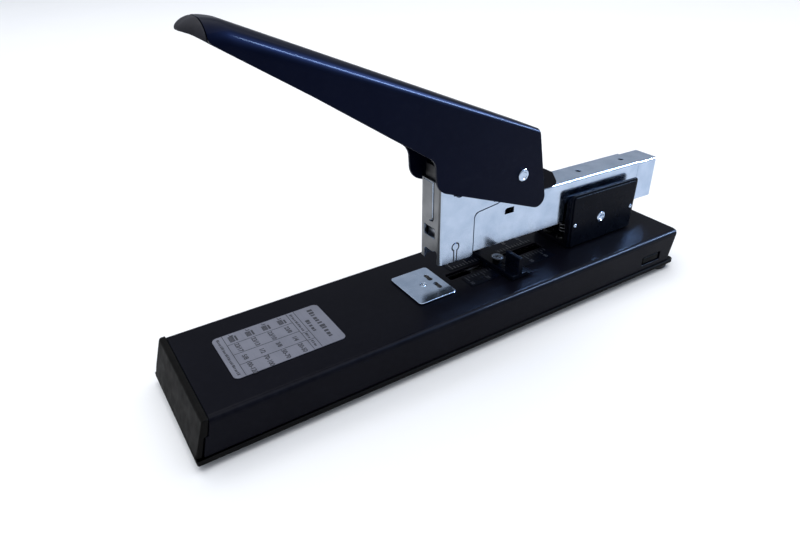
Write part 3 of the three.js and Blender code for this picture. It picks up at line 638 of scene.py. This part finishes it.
def front_cap():
    side = [
        (-142.3, 6),
        (-139.8, 15.4),
        (-138.3, 15.8),
        (-136.4, BASE_TOP),
        (-139.3, BASE_TOP, 1.6),
        (-145, 6),
    ]
    plan = [(-145, -32.6, 2.2), (-130, -32.9), (-130, 32.9), (-145, 32.6, 2.2)]
    face = meet(prism(side, "Y", -BASE_HALF, BASE_HALF), prism(plan, "Z", 0, 30))
    tongues = [
        block(-138.6, -127, *both(hand, 16, 27), 14, BASE_TOP - SHEET - GAP) for _, hand in HANDS
    ]
    join(face, *tongues)
    keep(soften(face, 0.55, 3), "front_cap_moulding", "base", "black_plastic", "black_plastic", "front_cap")


def greeked(start, end, count, height, along, seed):
    """A line of small blocks that reads as print from a distance and spells nothing."""
    blocks = []
    pitch = (end - start) / count
    for k in range(count):
        share = 0.62 + 0.2 * math.sin(seed + 2.3 * k)
        s0 = start + k * pitch
        blocks.append((s0, s0 + pitch * share, along, along + height * (0.85 + 0.15 * math.cos(k))))
    return blocks


LABEL = (-120.0, -67.0, -16.5, 16.5)
LABEL_TOP = BASE_TOP + 0.35
PRINT = 0.03


def label():
    film_plate = prism(rectangle(*LABEL, 2.6), "Z", BASE_TOP + 0.05, LABEL_TOP)
    keep(soften(film_plate, 0.08, 2), "label_film_sheet", "base", "label_film", "label_film", "label_plate")
    grid_front, grid_rear, head_rear = -115.0, -83.2, -79.4
    line = 0.16
    bars = [(x - line, x + line, -16.2, 16.2) for x in (grid_front, grid_rear, head_rear)]
    rows = (8.1, 0.0, -8.1)
    bars += [(grid_front, grid_rear, y - line, y + line) for y in rows]
    bars += [(grid_rear, head_rear, y - line, y + line) for y in (-2.2, -8.6)]
    # Print runs across the base: its blocks are laid out along -Y, with +X up.
    texts = greeked(-13.6, 12.8, 11, 2.6, -73.6, 0.4)
    texts += greeked(-6.2, 5.0, 5, 2.0, -77.8, 1.7)
    texts += greeked(-14.8, 1.2, 12, 1.2, -82.0, 2.9)
    texts += greeked(3.0, 7.6, 4, 1.2, -82.0, 0.8)
    texts += greeked(9.6, 15.2, 4, 1.2, -82.0, 3.3)
    texts += greeked(-14.8, 14.6, 26, 1.3, -118.1, 1.2)
    bars += [(x0, x1, -s1, -s0) for s0, s1, x0, x1 in texts]
    columns = [grid_rear - 4 - 7.95 * k for k in range(4)]
    for k, x in enumerate(columns):
        wide = 3.2 + 0.35 * k
        bars += [(x - 1.9, x + 0.6, 9.6 + 0.8 * n, 9.6 + 0.8 * n + 0.62) for n in range(int(wide / 0.8) + 1)]
        bars += [(x + 1.0, x + 1.9, 9.6, 9.6 + wide)]
        bars += [(x - 0.9, x + 0.9, 14.2, 14.8), (x - 0.9, x - 0.5, 15.2, 15.7)]
    parts = [block(x0, x1, y0, y1, LABEL_TOP, LABEL_TOP + PRINT) for x0, x1, y0, y1 in bars]
    sizes = ("23/8", "23/10", "23/13", "23/17")
    inches = ("1/4", "3/8", "1/2", "5/8")
    sheets = ("20-50", "50-70", "70-100", "100-120")
    for column, values in zip(columns, zip(sizes, inches, sheets)):
        for y, text in zip((4.05, -4.05, -12.2), values):
            parts.append(lettering(text, (column, y, LABEL_TOP), 3.0, PRINT))
    keep(soften(merged("label_print", parts), 0), "label_print", "base", "label_ink", "label_film")


def lettering(text, place, size, depth):
    """Numbers that read along -Y with +X up, as a mesh centred on a point."""
    curve = bpy.data.curves.new(text, "FONT")
    curve.body = text
    curve.size = size * MM
    curve.align_x = "CENTER"
    curve.align_y = "CENTER"
    curve.extrude = depth * MM / 2
    curve.offset = 0.0001
    curve.resolution_u = 3
    obj = bpy.data.objects.new(text, curve)
    bpy.context.scene.collection.objects.link(obj)
    obj.location = Vector(place) * MM + Vector((0, 0, depth * MM / 2))
    obj.rotation_euler = (0, 0, -math.pi / 2)
    bpy.context.view_layer.update()
    graph = bpy.context.evaluated_depsgraph_get()
    mesh = bpy.data.meshes.new_from_object(obj.evaluated_get(graph))
    mesh.transform(obj.matrix_world)
    bpy.data.objects.remove(obj)
    made = bpy.data.objects.new(text, mesh)
    bpy.context.scene.collection.objects.link(made)
    return made


def scales():
    """Two thin strips beside the slot, with raised ticks for setting the paper guide."""
    for name, hand in HANDS:
        strip = prism(rectangle(6, 63, *both(hand, 4.5, 14.5), 0.8), "Z", BASE_TOP + 0.05, BASE_TOP + 0.25)
        node = f"scale_strip_{name}"
        keep(soften(strip, 0.06, 2), node + "_moulding", "base", "guide_plastic", "black_plastic", node)
        ticks = []
        for k in range(28):
            x = 8 + 2 * k
            reach = 9.6 if k % 5 == 0 else 7.4
            ticks.append(block(x - 0.28, x + 0.28, *both(hand, 5.1, reach), BASE_TOP + 0.25, BASE_TOP + 0.36))
        for k in range(0, 28, 5):
            place = (8 + 2 * k, hand * 11.8, BASE_TOP + 0.25)
            ticks.append(lettering(str(10 + 2 * k), place, 2.6, 0.1))
        marks = merged(node + "_marks", ticks)
        keep(soften(marks, 0), node + "_marks", "base", "scale_ink", "black_plastic")


def rubber_feet():
    for name, hand in HANDS:
        for end in ("front", "rear"):
            node = f"rubber_foot_{name}_{end}"
            low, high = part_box(node)
            middle = (low + high) / 2 / MM
            rim = high.z / MM
            steps = [(0, 0.5), (3.4, 0.5), (3.8, 0), (5.3, 0), (5.9, 0.5), (6, 1.1), (6, rim), (0, rim)]
            foot = lathe(steps, (middle.x, middle.y, 0))
            keep(soften(foot, 0.2), node + "_pad", "base", "rubber", "rubber", node)


def tray_screws():
    for k in (1, 2, 3):
        node = f"tray_screw_{k}"
        low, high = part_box(node)
        middle = (low + high) / 2 / MM
        bottom, top = low.z / MM, high.z / MM
        head = 1.2
        steps = [
            (0, bottom), (2.4, bottom), (3.0, bottom + 0.35), (3.1, bottom + head),
            (1.5, bottom + head), (1.5, top - 1.2), (0.5, top), (0, top),
        ]
        screw = lathe(steps, (middle.x, middle.y, 0))
        arms = ((1.9, 0.35), (0.35, 1.9))
        cross = [block(middle.x - a, middle.x + a, -b, b, bottom - 1, bottom + 0.8) for a, b in arms]
        cut(screw, *cross)
        keep(soften(screw, 0.08), node + "_turned", "base", "plain_steel", "plain_steel", node)


# ------------------------------------------------------------------ anvil and paper guide
def anvil():
    low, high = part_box("anvil_plate")
    x0, x1 = low.x / MM, high.x / MM
    y0, y1 = low.y / MM, high.y / MM
    top = high.z / MM
    plate = prism(rectangle(x0, x1, y0, y1, 1.9), "Z", low.z / MM, top)
    pocket_x = -8.5
    tools = []
    for _, hand in HANDS:
        pocket = [(0, -3.1), (0.9, -2.9), (1.3, -2.0), (1.05, 0), (1.3, 1.9), (0.9, 2.9), (0, 3.1)]
        tool = lathe(pocket, (0, 0, 0), "Y", 32)
        tilt = Matrix.Rotation(math.radians(5 * hand), 4, "X")
        spot = Vector((pocket_x, hand * 4.4, top + 0.5)) * MM
        tool.data.transform(Matrix.Translation(spot) @ tilt)
        tools.append(tool)
    cut(plate, bar(1.7, (*ANVIL_PIN, 20), 10), *tools)
    soften(plate, 0.26, 3)
    keep(plate, "anvil_plate_pressing", "anvil", "bright_steel", "bright_steel", "anvil_plate")

    def shaded_pocket_faces(face):
        across, side = face.center.x / MM - pocket_x, abs(face.center.y / MM) - 4.4
        return abs(across) < 1.6 and abs(side) < 3.2 and face.center.z / MM < top - 0.02

    # Painted shade: the faces down inside the two clinch pockets get dark steel for the shade in the dents.
    second_finish(plate, "dark_steel", shaded_pocket_faces)
    low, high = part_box("anvil_pin")
    bottom, top = low.z / MM, high.z / MM
    steps = [
        (0, bottom), (3.7, bottom), (4, bottom + 0.3), (4, bottom + 2), (1.5, bottom + 2),
        (1.5, top - 0.12), (1.35, top), (0.75, top), (0.5, top - 0.2), (0, top - 0.22),
    ]
    pin = soften(lathe(steps, (*ANVIL_PIN, 0)), 0.04)
    keep(pin, "anvil_pin_turned", "anvil", "bright_steel", "bright_steel", "anvil_pin")


def paper_guide():
    low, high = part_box("guide_bar")
    half = high.y / MM
    bottom, top = 24.7, high.z / MM
    bar_top = 27.2
    body = prism(rectangle(25.3, 36, -half, half, 0.8), "Z", bottom, bar_top)
    stop = [
        (29, bottom), (29, top, 0.5), (31.8, top, 1.1),
        (31.8, bottom + 1.4, 0.8), (39, bottom + 1.4, 0.5), (39, bottom),
    ]
    parts = [prism(stop, "Y", *both(hand, 12, half)) for _, hand in HANDS]
    parts.append(block(26, 34, -2.7, 2.7, low.z / MM, bar_top - 0.5))
    join(body, *parts)
    cut(body, bar(1.8, (*KNOB, 10), 30))
    soften(body, 0.35, 3)
    keep(body, "guide_bar_moulding", "paper_guide", "guide_plastic", "black_plastic", "guide_bar")
    refined("guide_clamp_plate", "paper_guide", "plain_steel", "plain_steel")
    refined("guide_clamp_screw", "paper_guide", "plain_steel", "plain_steel", 0.1)
    knob_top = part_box("guide_lock_knob")[1].z / MM
    steps = [
        (0, 24.5), (1.5, 24.5), (1.5, 27.5), (2.35, 27.5), (2.45, 27.9), (2.6, 29.4), (3.1, 29.9),
        (3.3, 30.2), (3.3, knob_top - 0.35), (3.0, knob_top - 0.12), (2.75, knob_top - 0.1),
        (2.7, knob_top - 0.02), (2.5, knob_top), (1.2, knob_top), (0.9, knob_top - 0.12),
        (0, knob_top - 0.12),
    ]
    knob = soften(lathe(steps, (*KNOB, 0), sides=72), 0)
    keep(knob, "guide_lock_knob_turned", "guide_knob", "bright_steel", "bright_steel", "guide_lock_knob")
    second_finish(knob, "dark_steel", lambda face: face.center.z / MM < knob_top - 0.11)


# ------------------------------------------------------------------ pivot bracket
RIVETS = (76.0, 119.6)


def bracket_cover(name, hand):
    node = f"bracket_cover_{name}"
    inner, outer = 11.8, 14.0
    face = [(72.6, 24.6, 1), (122.5, 24.6, 1), (124.4, 54.6, 2.4), (72.6, 55.9, 2.4)]
    panel = [(73.9, 24.9, 0.5), (120.6, 24.9, 0.5), (122.3, 53.3, 1.6), (73.9, 54.5, 1.6)]
    plate = prism(face, "Y", *both(hand, inner, outer - 0.75))
    soften(plate, 0.7, 3)
    raised = prism(panel, "Y", *both(hand, outer - 1.3, outer))
    soften(raised, 0.45, 3)
    join(plate, raised)
    cuts = [prism(circle(3.5, (PIVOT.x, PIVOT.z)), "Y", *both(hand, outer - 0.9, outer + 1))]
    cuts += [prism(circle(3.1, (96, 38)), "Y", *both(hand, inner - 1, outer + 1))]
    cuts += [prism(circle(1.25, (x, 38)), "Y", *both(hand, inner - 1, outer + 1)) for x in RIVETS]
    cut(plate, *cuts)
    keep(soften(plate, 0), node + "_moulding", "base", "guide_plastic", "black_plastic", node)


def circle(radius, centre, sides=40):
    return [
        (
            centre[0] + radius * math.cos(2 * math.pi * k / sides),
            centre[1] + radius * math.sin(2 * math.pi * k / sides),
        )
        for k in range(sides)
    ]


def riveted_head(radius, rise, depth):
    """The outer end of a pin: a low dome with a punched middle, as lathe steps from the shank."""
    return [
        (radius, depth), (radius, depth + rise * 0.3), (radius * 0.92, depth + rise * 0.75),
        (radius * 0.72, depth + rise), (radius * 0.6, depth + rise), (radius * 0.52, depth + rise * 0.5),
        (radius * 0.34, depth + rise * 0.45), (radius * 0.2, depth + rise * 0.1), (0, depth + rise * 0.05),
    ]


def pins():
    """The pivot pin and the four small rivets, with punched heads on both sides."""
    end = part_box("pivot_pin")[1].y / MM
    ends = []
    for _, hand in HANDS:
        axis = "Y" if hand > 0 else "-Y"
        steps = [(0, 0), (3, 0)] + riveted_head(3, 0.5, end - 0.5)
        ends.append(lathe(steps, PIVOT, axis))
    pivot = soften(merged("pivot", ends), 0)
    keep(pivot, "pivot_pin_turned", "base", "bright_steel", "bright_steel", "pivot_pin")
    for name, hand in HANDS:
        for place, x in zip(("front", "rear"), RIVETS):
            node = f"bracket_rivet_{name}_{place}"
            axis = "Y" if hand > 0 else "-Y"
            steps = [(0, 9.4), (1.1, 9.4)] + riveted_head(1.15, 0.4, 14)
            rivet = lathe(steps, (x, 0, 38), axis, 32)
            keep(soften(rivet, 0), node + "_turned", "base", "bright_steel", "bright_steel", node)


def bracket_bolts():
    for name, hand in HANDS:
        for place, x in (("front", 76), ("rear", 116)):
            node = f"bracket_bolt_{name}_{place}"
            low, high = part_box(node)
            top = high.z / MM
            steps = [
                (0, low.z / MM), (2, low.z / MM), (2, top - 1.7), (3, top - 1.7), (3, top - 0.6),
                (2.5, top - 0.1), (1.4, top), (0, top),
            ]
            bolt = lathe(steps, (x, hand * 5, 0), sides=40)
            cut(bolt, block(x - 3, x + 3, hand * 5 - 0.4, hand * 5 + 0.4, top - 0.7, top + 1))
            keep(soften(bolt, 0.06), node + "_turned", "base", "dark_steel", "plain_steel", node)


# ------------------------------------------------------------------ magazine
def magazine_sleeve():
    inner = MAG_HALF - MAG_SHEET
    section = [
        (-MAG_HALF, 0.3), (-MAG_HALF, MAG_TOP, 1.3), (MAG_HALF, MAG_TOP, 1.3), (MAG_HALF, 0.3),
        (inner, 0.3), (inner, MAG_TOP - MAG_SHEET, 0.5),
        (-inner, MAG_TOP - MAG_SHEET, 0.5), (-inner, 0.3),
    ]
    sleeve = prism(section, "X", HEAD_REAR + 0.3, 32)
    lugs = [prism(circle(7, (0, 0)), "Y", *both(hand, inner, MAG_HALF)) for _, hand in HANDS]
    join(sleeve, *lugs)
    front = [(-90, 30), (-90, -5), (-85.6, -5), (-85.6, 20.9, 3.2), (-71, 22.95), (-71, 30)]
    window = [(-66.4, 15.8), (-60.5, 15.8), (-60.5, 18.9), (-66.4, 18.9, 1.3)]
    cut(
        sleeve,
        prism(circle(3.1, (0, 0)), "Y", -20, 20),
        prism(window, "Y", -20, 20),
        bar(1.5, (-7.8, 0, 20), 8),
        bar(1.5, (26.1, 0, 20), 8),
        prism(front, "Y", -20, 20),
    )
    soften(sleeve, 0.16, 2)
    in_magazine(sleeve)
    keep(sleeve, "magazine_sleeve_sheet", "magazine", "bright_steel", "bright_steel", "magazine_sleeve")


def keyhole_plug(hand, inner):
    """The sheet inside the keyhole outline, with a thin groove left round it."""
    sides = both(hand, inner + 0.2, MAG_HALF - 0.06)
    stem = [(-97.4, -2.2), (-96.2, -2.2), (-96.2, 5.9), (-97.4, 5.9)]
    return join(prism(circle(1.75, KEYHOLE), "Y", *sides), prism(stem, "Y", *sides))


def head_housing():
    inner = MAG_HALF - MAG_SHEET
    rear = -70.5
    plan = [
        (rear, -MAG_HALF), (rear, -inner), (HEAD_FRONT + 1.2, -inner, 0.7), (HEAD_FRONT + 1.2, inner, 0.7),
        (rear, inner), (rear, MAG_HALF), (HEAD_FRONT, MAG_HALF, 1.9), (HEAD_FRONT, -MAG_HALF, 1.9),
    ]
    head = prism(plan, "Z", -5, 45)
    side = [
        (HEAD_FRONT - 1, -2.3), (HEAD_REAR, -2.3), (HEAD_REAR, 21.3, 3), (-71, 23.35), (-71.5, 24.6),
        (-74, 24.6), (-77, 33.2, 1), (-98.9, 33.2), (-99.8, HEAD_TOP, 0.6),
        (-103, 40.2, 0.6), (HEAD_FRONT - 1, 40.2),
    ]
    meet(head, prism(side, "Y", -20, 20))
    passage = join(
        prism(circle(3.15, (-95.2, 35.1)), "Y", -20, 20),
        prism([(-98.35, 35.1), (-92.05, 35.1), (-92.05, 50), (-98.35, 50)], "Y", -20, 20),
    )
    cut(head, passage)
    seat = block(HEAD_FRONT + 4.5, HEAD_REAR - 1, -inner - 0.3, inner + 0.3, 15.4, 16.4)
    rib_face = [(-2.2, 20, 2), (5.8, 20, 2), (5.8, 39.6), (-2.2, 39.6)]
    rib = prism(rib_face, "X", HEAD_FRONT - 0.35, HEAD_FRONT + 0.6)
    soften(rib, 0.3, 3)
    hook = [
        (-2.9, 42), (-2.3, 42), (-2.3, 21.6), (-1.6, 20.3),
        (0.8, 19.9), (0.8, 19.3), (-1.9, 19.5), (-2.9, 20.8),
    ]
    join(head, seat, rib)
    notch = [(-6.2, -5), (-6.2, 5.4, 1.4), (-2.2, 3.4, 2.5), (4.5, 3.6, 1.4), (4.5, -5)]
    keyhole = join(
        prism(circle(2.35, KEYHOLE), "Y", -20, 20),
        prism([(-98.0, -5), (-95.6, -5), (-95.6, 5.9), (-98.0, 5.9)], "Y", -20, 20),
    )
    plug = keyhole_plug(-1, inner)
    mirror_plug = keyhole_plug(1, inner)
    cut(
        head,
        prism(rectangle(-4.0, 5.0, 10.8, 16.2, 0.5), "X", HEAD_FRONT - 2, HEAD_FRONT + 1.6),
        prism(hook, "X", HEAD_FRONT - 2, HEAD_FRONT + 0.9),
        prism(notch, "X", HEAD_FRONT - 2, HEAD_FRONT + 2),
        keyhole,
    )
    soften(head, 0.16, 2)
    soften(plug, 0.1, 2)
    soften(mirror_plug, 0.1, 2)
    whole = merged("head_housing_sheet", [head, plug, mirror_plug])
    in_magazine(whole)
    keep(whole, "head_housing_sheet", "magazine", "bright_steel", "bright_steel", "head_housing")
    # Painted shade: the faces that look forward get the darker copy of the bright steel.
    second_finish(whole, "shaded_front_steel", lambda face: face.normal.x < -0.75)

    def shaded_hook_groove(face):
        spot = MAGAZINE.inverted() @ (face.center / MM)
        return HEAD_FRONT + 0.12 < spot.x < HEAD_FRONT + 0.95 and -3 < spot.y < 0.9 and 19 < spot.z < 40

    # Painted shade: the walls and floor of the hook groove in the front get dark steel.
    second_finish(whole, "dark_steel", shaded_hook_groove)


def track_end():
    half = MAG_HALF - 0.2
    inner = half - MAG_SHEET
    low, high = 0.3, MAG_TOP - 0.5
    outer = meet(
        prism([(-half, low), (-half, high, 1.5), (half, high, 1.5), (half, low)], "X", 32.3, 47.6),
        prism([(30, -half), (47.6, -half, 1.2), (47.6, half, 1.2), (30, half)], "Z", -5, 30),
    )
    room = prism([(-inner, -5), (-inner, high - 1.2, 0.5), (inner, high - 1.2, 0.5), (inner, -5)], "X", 0, 46)
    ledge = block(45.1, 46.6, -inner - 0.1, inner + 0.1, low, 3)
    cut(outer, room)
    join(outer, ledge)
    soften(outer, 0.16, 2)
    keep(in_magazine(outer), "track_end_sheet", "track", "bright_steel", "bright_steel", "track_end")


def fulcrum_bracket():
    low = MAG_TOP + 0.3
    cheek = [
        (-72, low), (-33.4, low), (-33.4, 27, 0.8), (-37, 32.6, 3),
        (-44, 36.2, 2), (-52, 44, 4), (-67, 44, 5), (-72, 34, 3),
    ]
    plates = [prism(cheek, "Y", *both(hand, 7.6, 9.4)) for _, hand in HANDS]
    floor = block(-71, -35, -8, 8, low, low + 1.8)
    join(floor, *plates)
    cut(floor, prism(circle(2.6, HANDLE_PIN), "Y", -20, 20))
    soften(floor, 0.4, 3)
    in_magazine(floor)
    keep(floor, "fulcrum_bracket_plate", "magazine", "black_paint", "black_paint", "fulcrum_bracket")


def handle_pin():
    ends = []
    for _, hand in HANDS:
        axis = "Y" if hand > 0 else "-Y"
        steps = [(0, 0), (2.5, 0), (2.5, HANDLE_HALF + 0.2), (3.1, HANDLE_HALF + 0.2)]
        steps += riveted_head(3.1, 0.5, HANDLE_HALF + 0.4)
        ends.append(lathe(steps, (HANDLE_PIN[0], 0, HANDLE_PIN[1]), axis))
    both_ends = merged("handle_pin", ends)
    soften(both_ends, 0)
    in_magazine(both_ends)
    keep(both_ends, "handle_pin_turned", "magazine", "bright_steel", "bright_steel", "handle_pin")


def springs():
    driver = coil("driver_spring_wire", 4.6, 0.6, 21.2, 6)
    driver.data.transform(Matrix.Translation(Vector(DRIVER_SPRING_FOOT) * MM))
    soften(driver, 0)
    in_magazine(driver)
    keep(driver, "driver_spring_wire", "magazine", "spring_steel", "spring_steel", "driver_spring")
    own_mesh(driver)
    lift = coil("lift_spring_wire", 3.6, 0.5, 10, 5)
    lift_foot = Vector(LIFT_SPRING_FOOT) * MM
    lift.data.transform(Matrix.Translation(lift_foot))
    keep(soften(lift, 0), "lift_spring_wire", "base", "spring_steel", "spring_steel", "lift_spring")
    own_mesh(lift)
    feed = coil("pusher_spring_wire", 2.6, 0.45, 59, 14)
    feed_foot = Matrix.Translation(Vector((-15.4, 0, 8.6)) * MM)
    feed.data.transform(feed_foot @ Matrix.Rotation(math.pi / 2, 4, "Y"))
    soften(feed, 0)
    keep(in_magazine(feed), "pusher_spring_wire", "track", "spring_steel", "spring_steel", "pusher_spring")


# ------------------------------------------------------------------ handle
def ridge(x):
    """Height of the handle's top line. Near the front it dips to meet the grip tip."""
    straight = RIDGE_FRONT_Z + (x - HANDLE_FRONT) * RIDGE_SLOPE
    if x >= BROW_X:
        return straight
    share = (BROW_X - x) / (BROW_X - HANDLE_FRONT)
    fall = RIDGE_FRONT_Z - BROW_FRONT_Z
    return straight - fall * share ** 1.7


def bend(x):
    """Radius of the handle's two long bends, which open out towards the grip."""
    share = min(max((46 - x) / 151, 0), 1)
    return 2.6 + 6.2 * share ** 1.2


def arch(x, half, top, radius, floor, steps=10):
    """A section across the handle at x: walls down to the floor, bends and a flat top."""
    points = [(x, -half, floor)]
    for hand in (-1, 1):
        for k in range(steps + 1):
            angle = math.pi / 2 * (k if hand < 0 else steps - k) / steps
            y = hand * (half - radius + radius * math.cos(angle))
            points.append((x, y, top - radius + radius * math.sin(angle)))
    points.append((x, half, floor))
    return points


def handle_shell():
    stations = [HANDLE_FRONT + k for k in range(9)] + [-94 + 6.1 * k for k in range(26)]
    outer = skin("outer", [arch(x, HANDLE_HALF, ridge(x), bend(x), 20) for x in stations])
    rise = SHEET / math.cos(math.atan(RIDGE_SLOPE))
    spread_stations = [HANDLE_FRONT - 2] + stations[1:] + [80]
    inner = skin(
        "inner",
        [
            arch(x, HANDLE_HALF - SHEET, ridge(max(x, HANDLE_FRONT)) - rise, max(bend(x) - SHEET, 0.8), 10)
            for x in spread_stations
        ],
    )
    side = [
        (HANDLE_FRONT, 157.6), (-104.6, 156.3, 1.2), (-98.4, 151.9, 6), (-60, 126.3, 60),
        (-14.3, 94.4, 8), (-13.8, 80, 8), (54.6, 53.1, 5), (46.5, 97.5, 2.2),
        (46.4, 120), (HANDLE_FRONT, 190),
    ]
    cut(outer, inner)
    meet(outer, prism(side, "Y", -20, 20, 10))
    cut(outer, prism(circle(2.6, HANDLE_PIN_ROW), "Y", -20, 20))
    soften(outer, 0.2, 3, 36)
    keep(outer, "handle_shell_sheet", "handle", "navy_paint", "navy_paint", "handle_shell")


def grip_tip():
    """The moulded bill that closes the handle's front end."""
    length = HANDLE_FRONT - 0.3 - TIP_FRONT
    rings = []
    for k in range(15):
        share = math.sin(math.pi / 2 * k / 14)
        depth = length * (1 - share)
        x = TIP_FRONT + depth
        plan = 1.0 + math.sqrt(max(121 - (11 - depth) ** 2, 0.0))
        half = min(plan, HANDLE_HALF)
        back = depth / length
        top = 160.75 + (BROW_FRONT_Z - 160.75) * math.sin(math.pi / 2 * back) ** 0.8
        bottom = 159.85 - 3.3 * back ** 1.6
        height = top - bottom
        reach = min(bend(HANDLE_FRONT) + 0.6, half * 0.8)
        rise = height * 0.82
        ring = [(x, -half + 0.25, bottom), (x, -half, bottom + height * 0.1)]
        for hand in (-1, 1):
            for n in range(11):
                angle = math.pi / 2 * (n if hand < 0 else 10 - n) / 10
                y = hand * (half - reach + reach * math.cos(angle))
                ring.append((x, y, top - rise + rise * math.sin(angle)))
        ring += [(x, half, bottom + height * 0.1), (x, half - 0.25, bottom)]
        rings.append(ring)
    rings.reverse()
    bill = skin("bill", rings)
    under = 2.2
    insert = [
        (HANDLE_FRONT - 1, 158.5), (-90, 153.2),
        (-90, ridge(-90) - under - 0.6), (BROW_X, ridge(BROW_X) - under - 0.6),
        (HANDLE_FRONT - 1, BROW_FRONT_Z - under - 0.4),
    ]
    stub = prism(insert, "Y", -7.8, 7.8)
    dimples = [ball(1.5, (-107.4, hand * 10.8, 161.3)) for _, hand in HANDS]
    join(bill, stub)
    cut(bill, bar(1.3, (-98.7, 0, 140), 30), *dimples)
    soften(bill, 0.12, 2, 34)
    keep(bill, "grip_tip_moulding", "handle", "grey_plastic", "grey_plastic", "grip_tip")


def ball(radius, place):
    steps = [(radius * math.sin(math.pi * k / 12), -radius * math.cos(math.pi * k / 12)) for k in range(13)]
    steps[0] = (0, -radius)
    steps[-1] = (0, radius)
    return lathe(steps, place, sides=24)


# ------------------------------------------------------------------ the object
def plain_pieces():
    """Inner pieces whose CAD shape is right: they gain rounded edges and a real finish."""
    for node, body, finish, slot, width in (
        ("base_tray", "base", "black_plastic", "black_plastic", 0.3),
        ("base_spine", "base", "plain_steel", "plain_steel", 0.25),
        ("pivot_bracket", "base", "black_paint", "black_paint", 0.3),
        ("bottom_rail", "magazine", "plain_steel", "plain_steel", 0.15),
        ("staple_track", "track", "plain_steel", "plain_steel", 0.12),
        ("pusher_rod", "track", "plain_steel", "plain_steel", 0.2),
        ("pusher", "pusher", "plain_steel", "plain_steel", 0.15),
        ("driver_blade", "driver", "dark_steel", "plain_steel", 0.1),
        ("plunger", "driver", "dark_steel", "bright_steel", 0.5),
        ("press_bar", "handle", "plain_steel", "plain_steel", 0.3),
        ("grip_screw", "handle", "bright_steel", "bright_steel", 0.1),
    ):
        refined(node, body, finish, slot, width)


def build():
    base_cover()
    front_cap()
    label()
    scales()
    rubber_feet()
    tray_screws()
    anvil()
    paper_guide()
    for name, hand in HANDS:
        bracket_cover(name, hand)
    pins()
    bracket_bolts()
    magazine_sleeve()
    head_housing()
    track_end()
    fulcrum_bracket()
    handle_pin()
    springs()
    handle_shell()
    grip_tip()
    plain_pieces()


camera()
studio()
build()

bpy.context.view_layer.update()
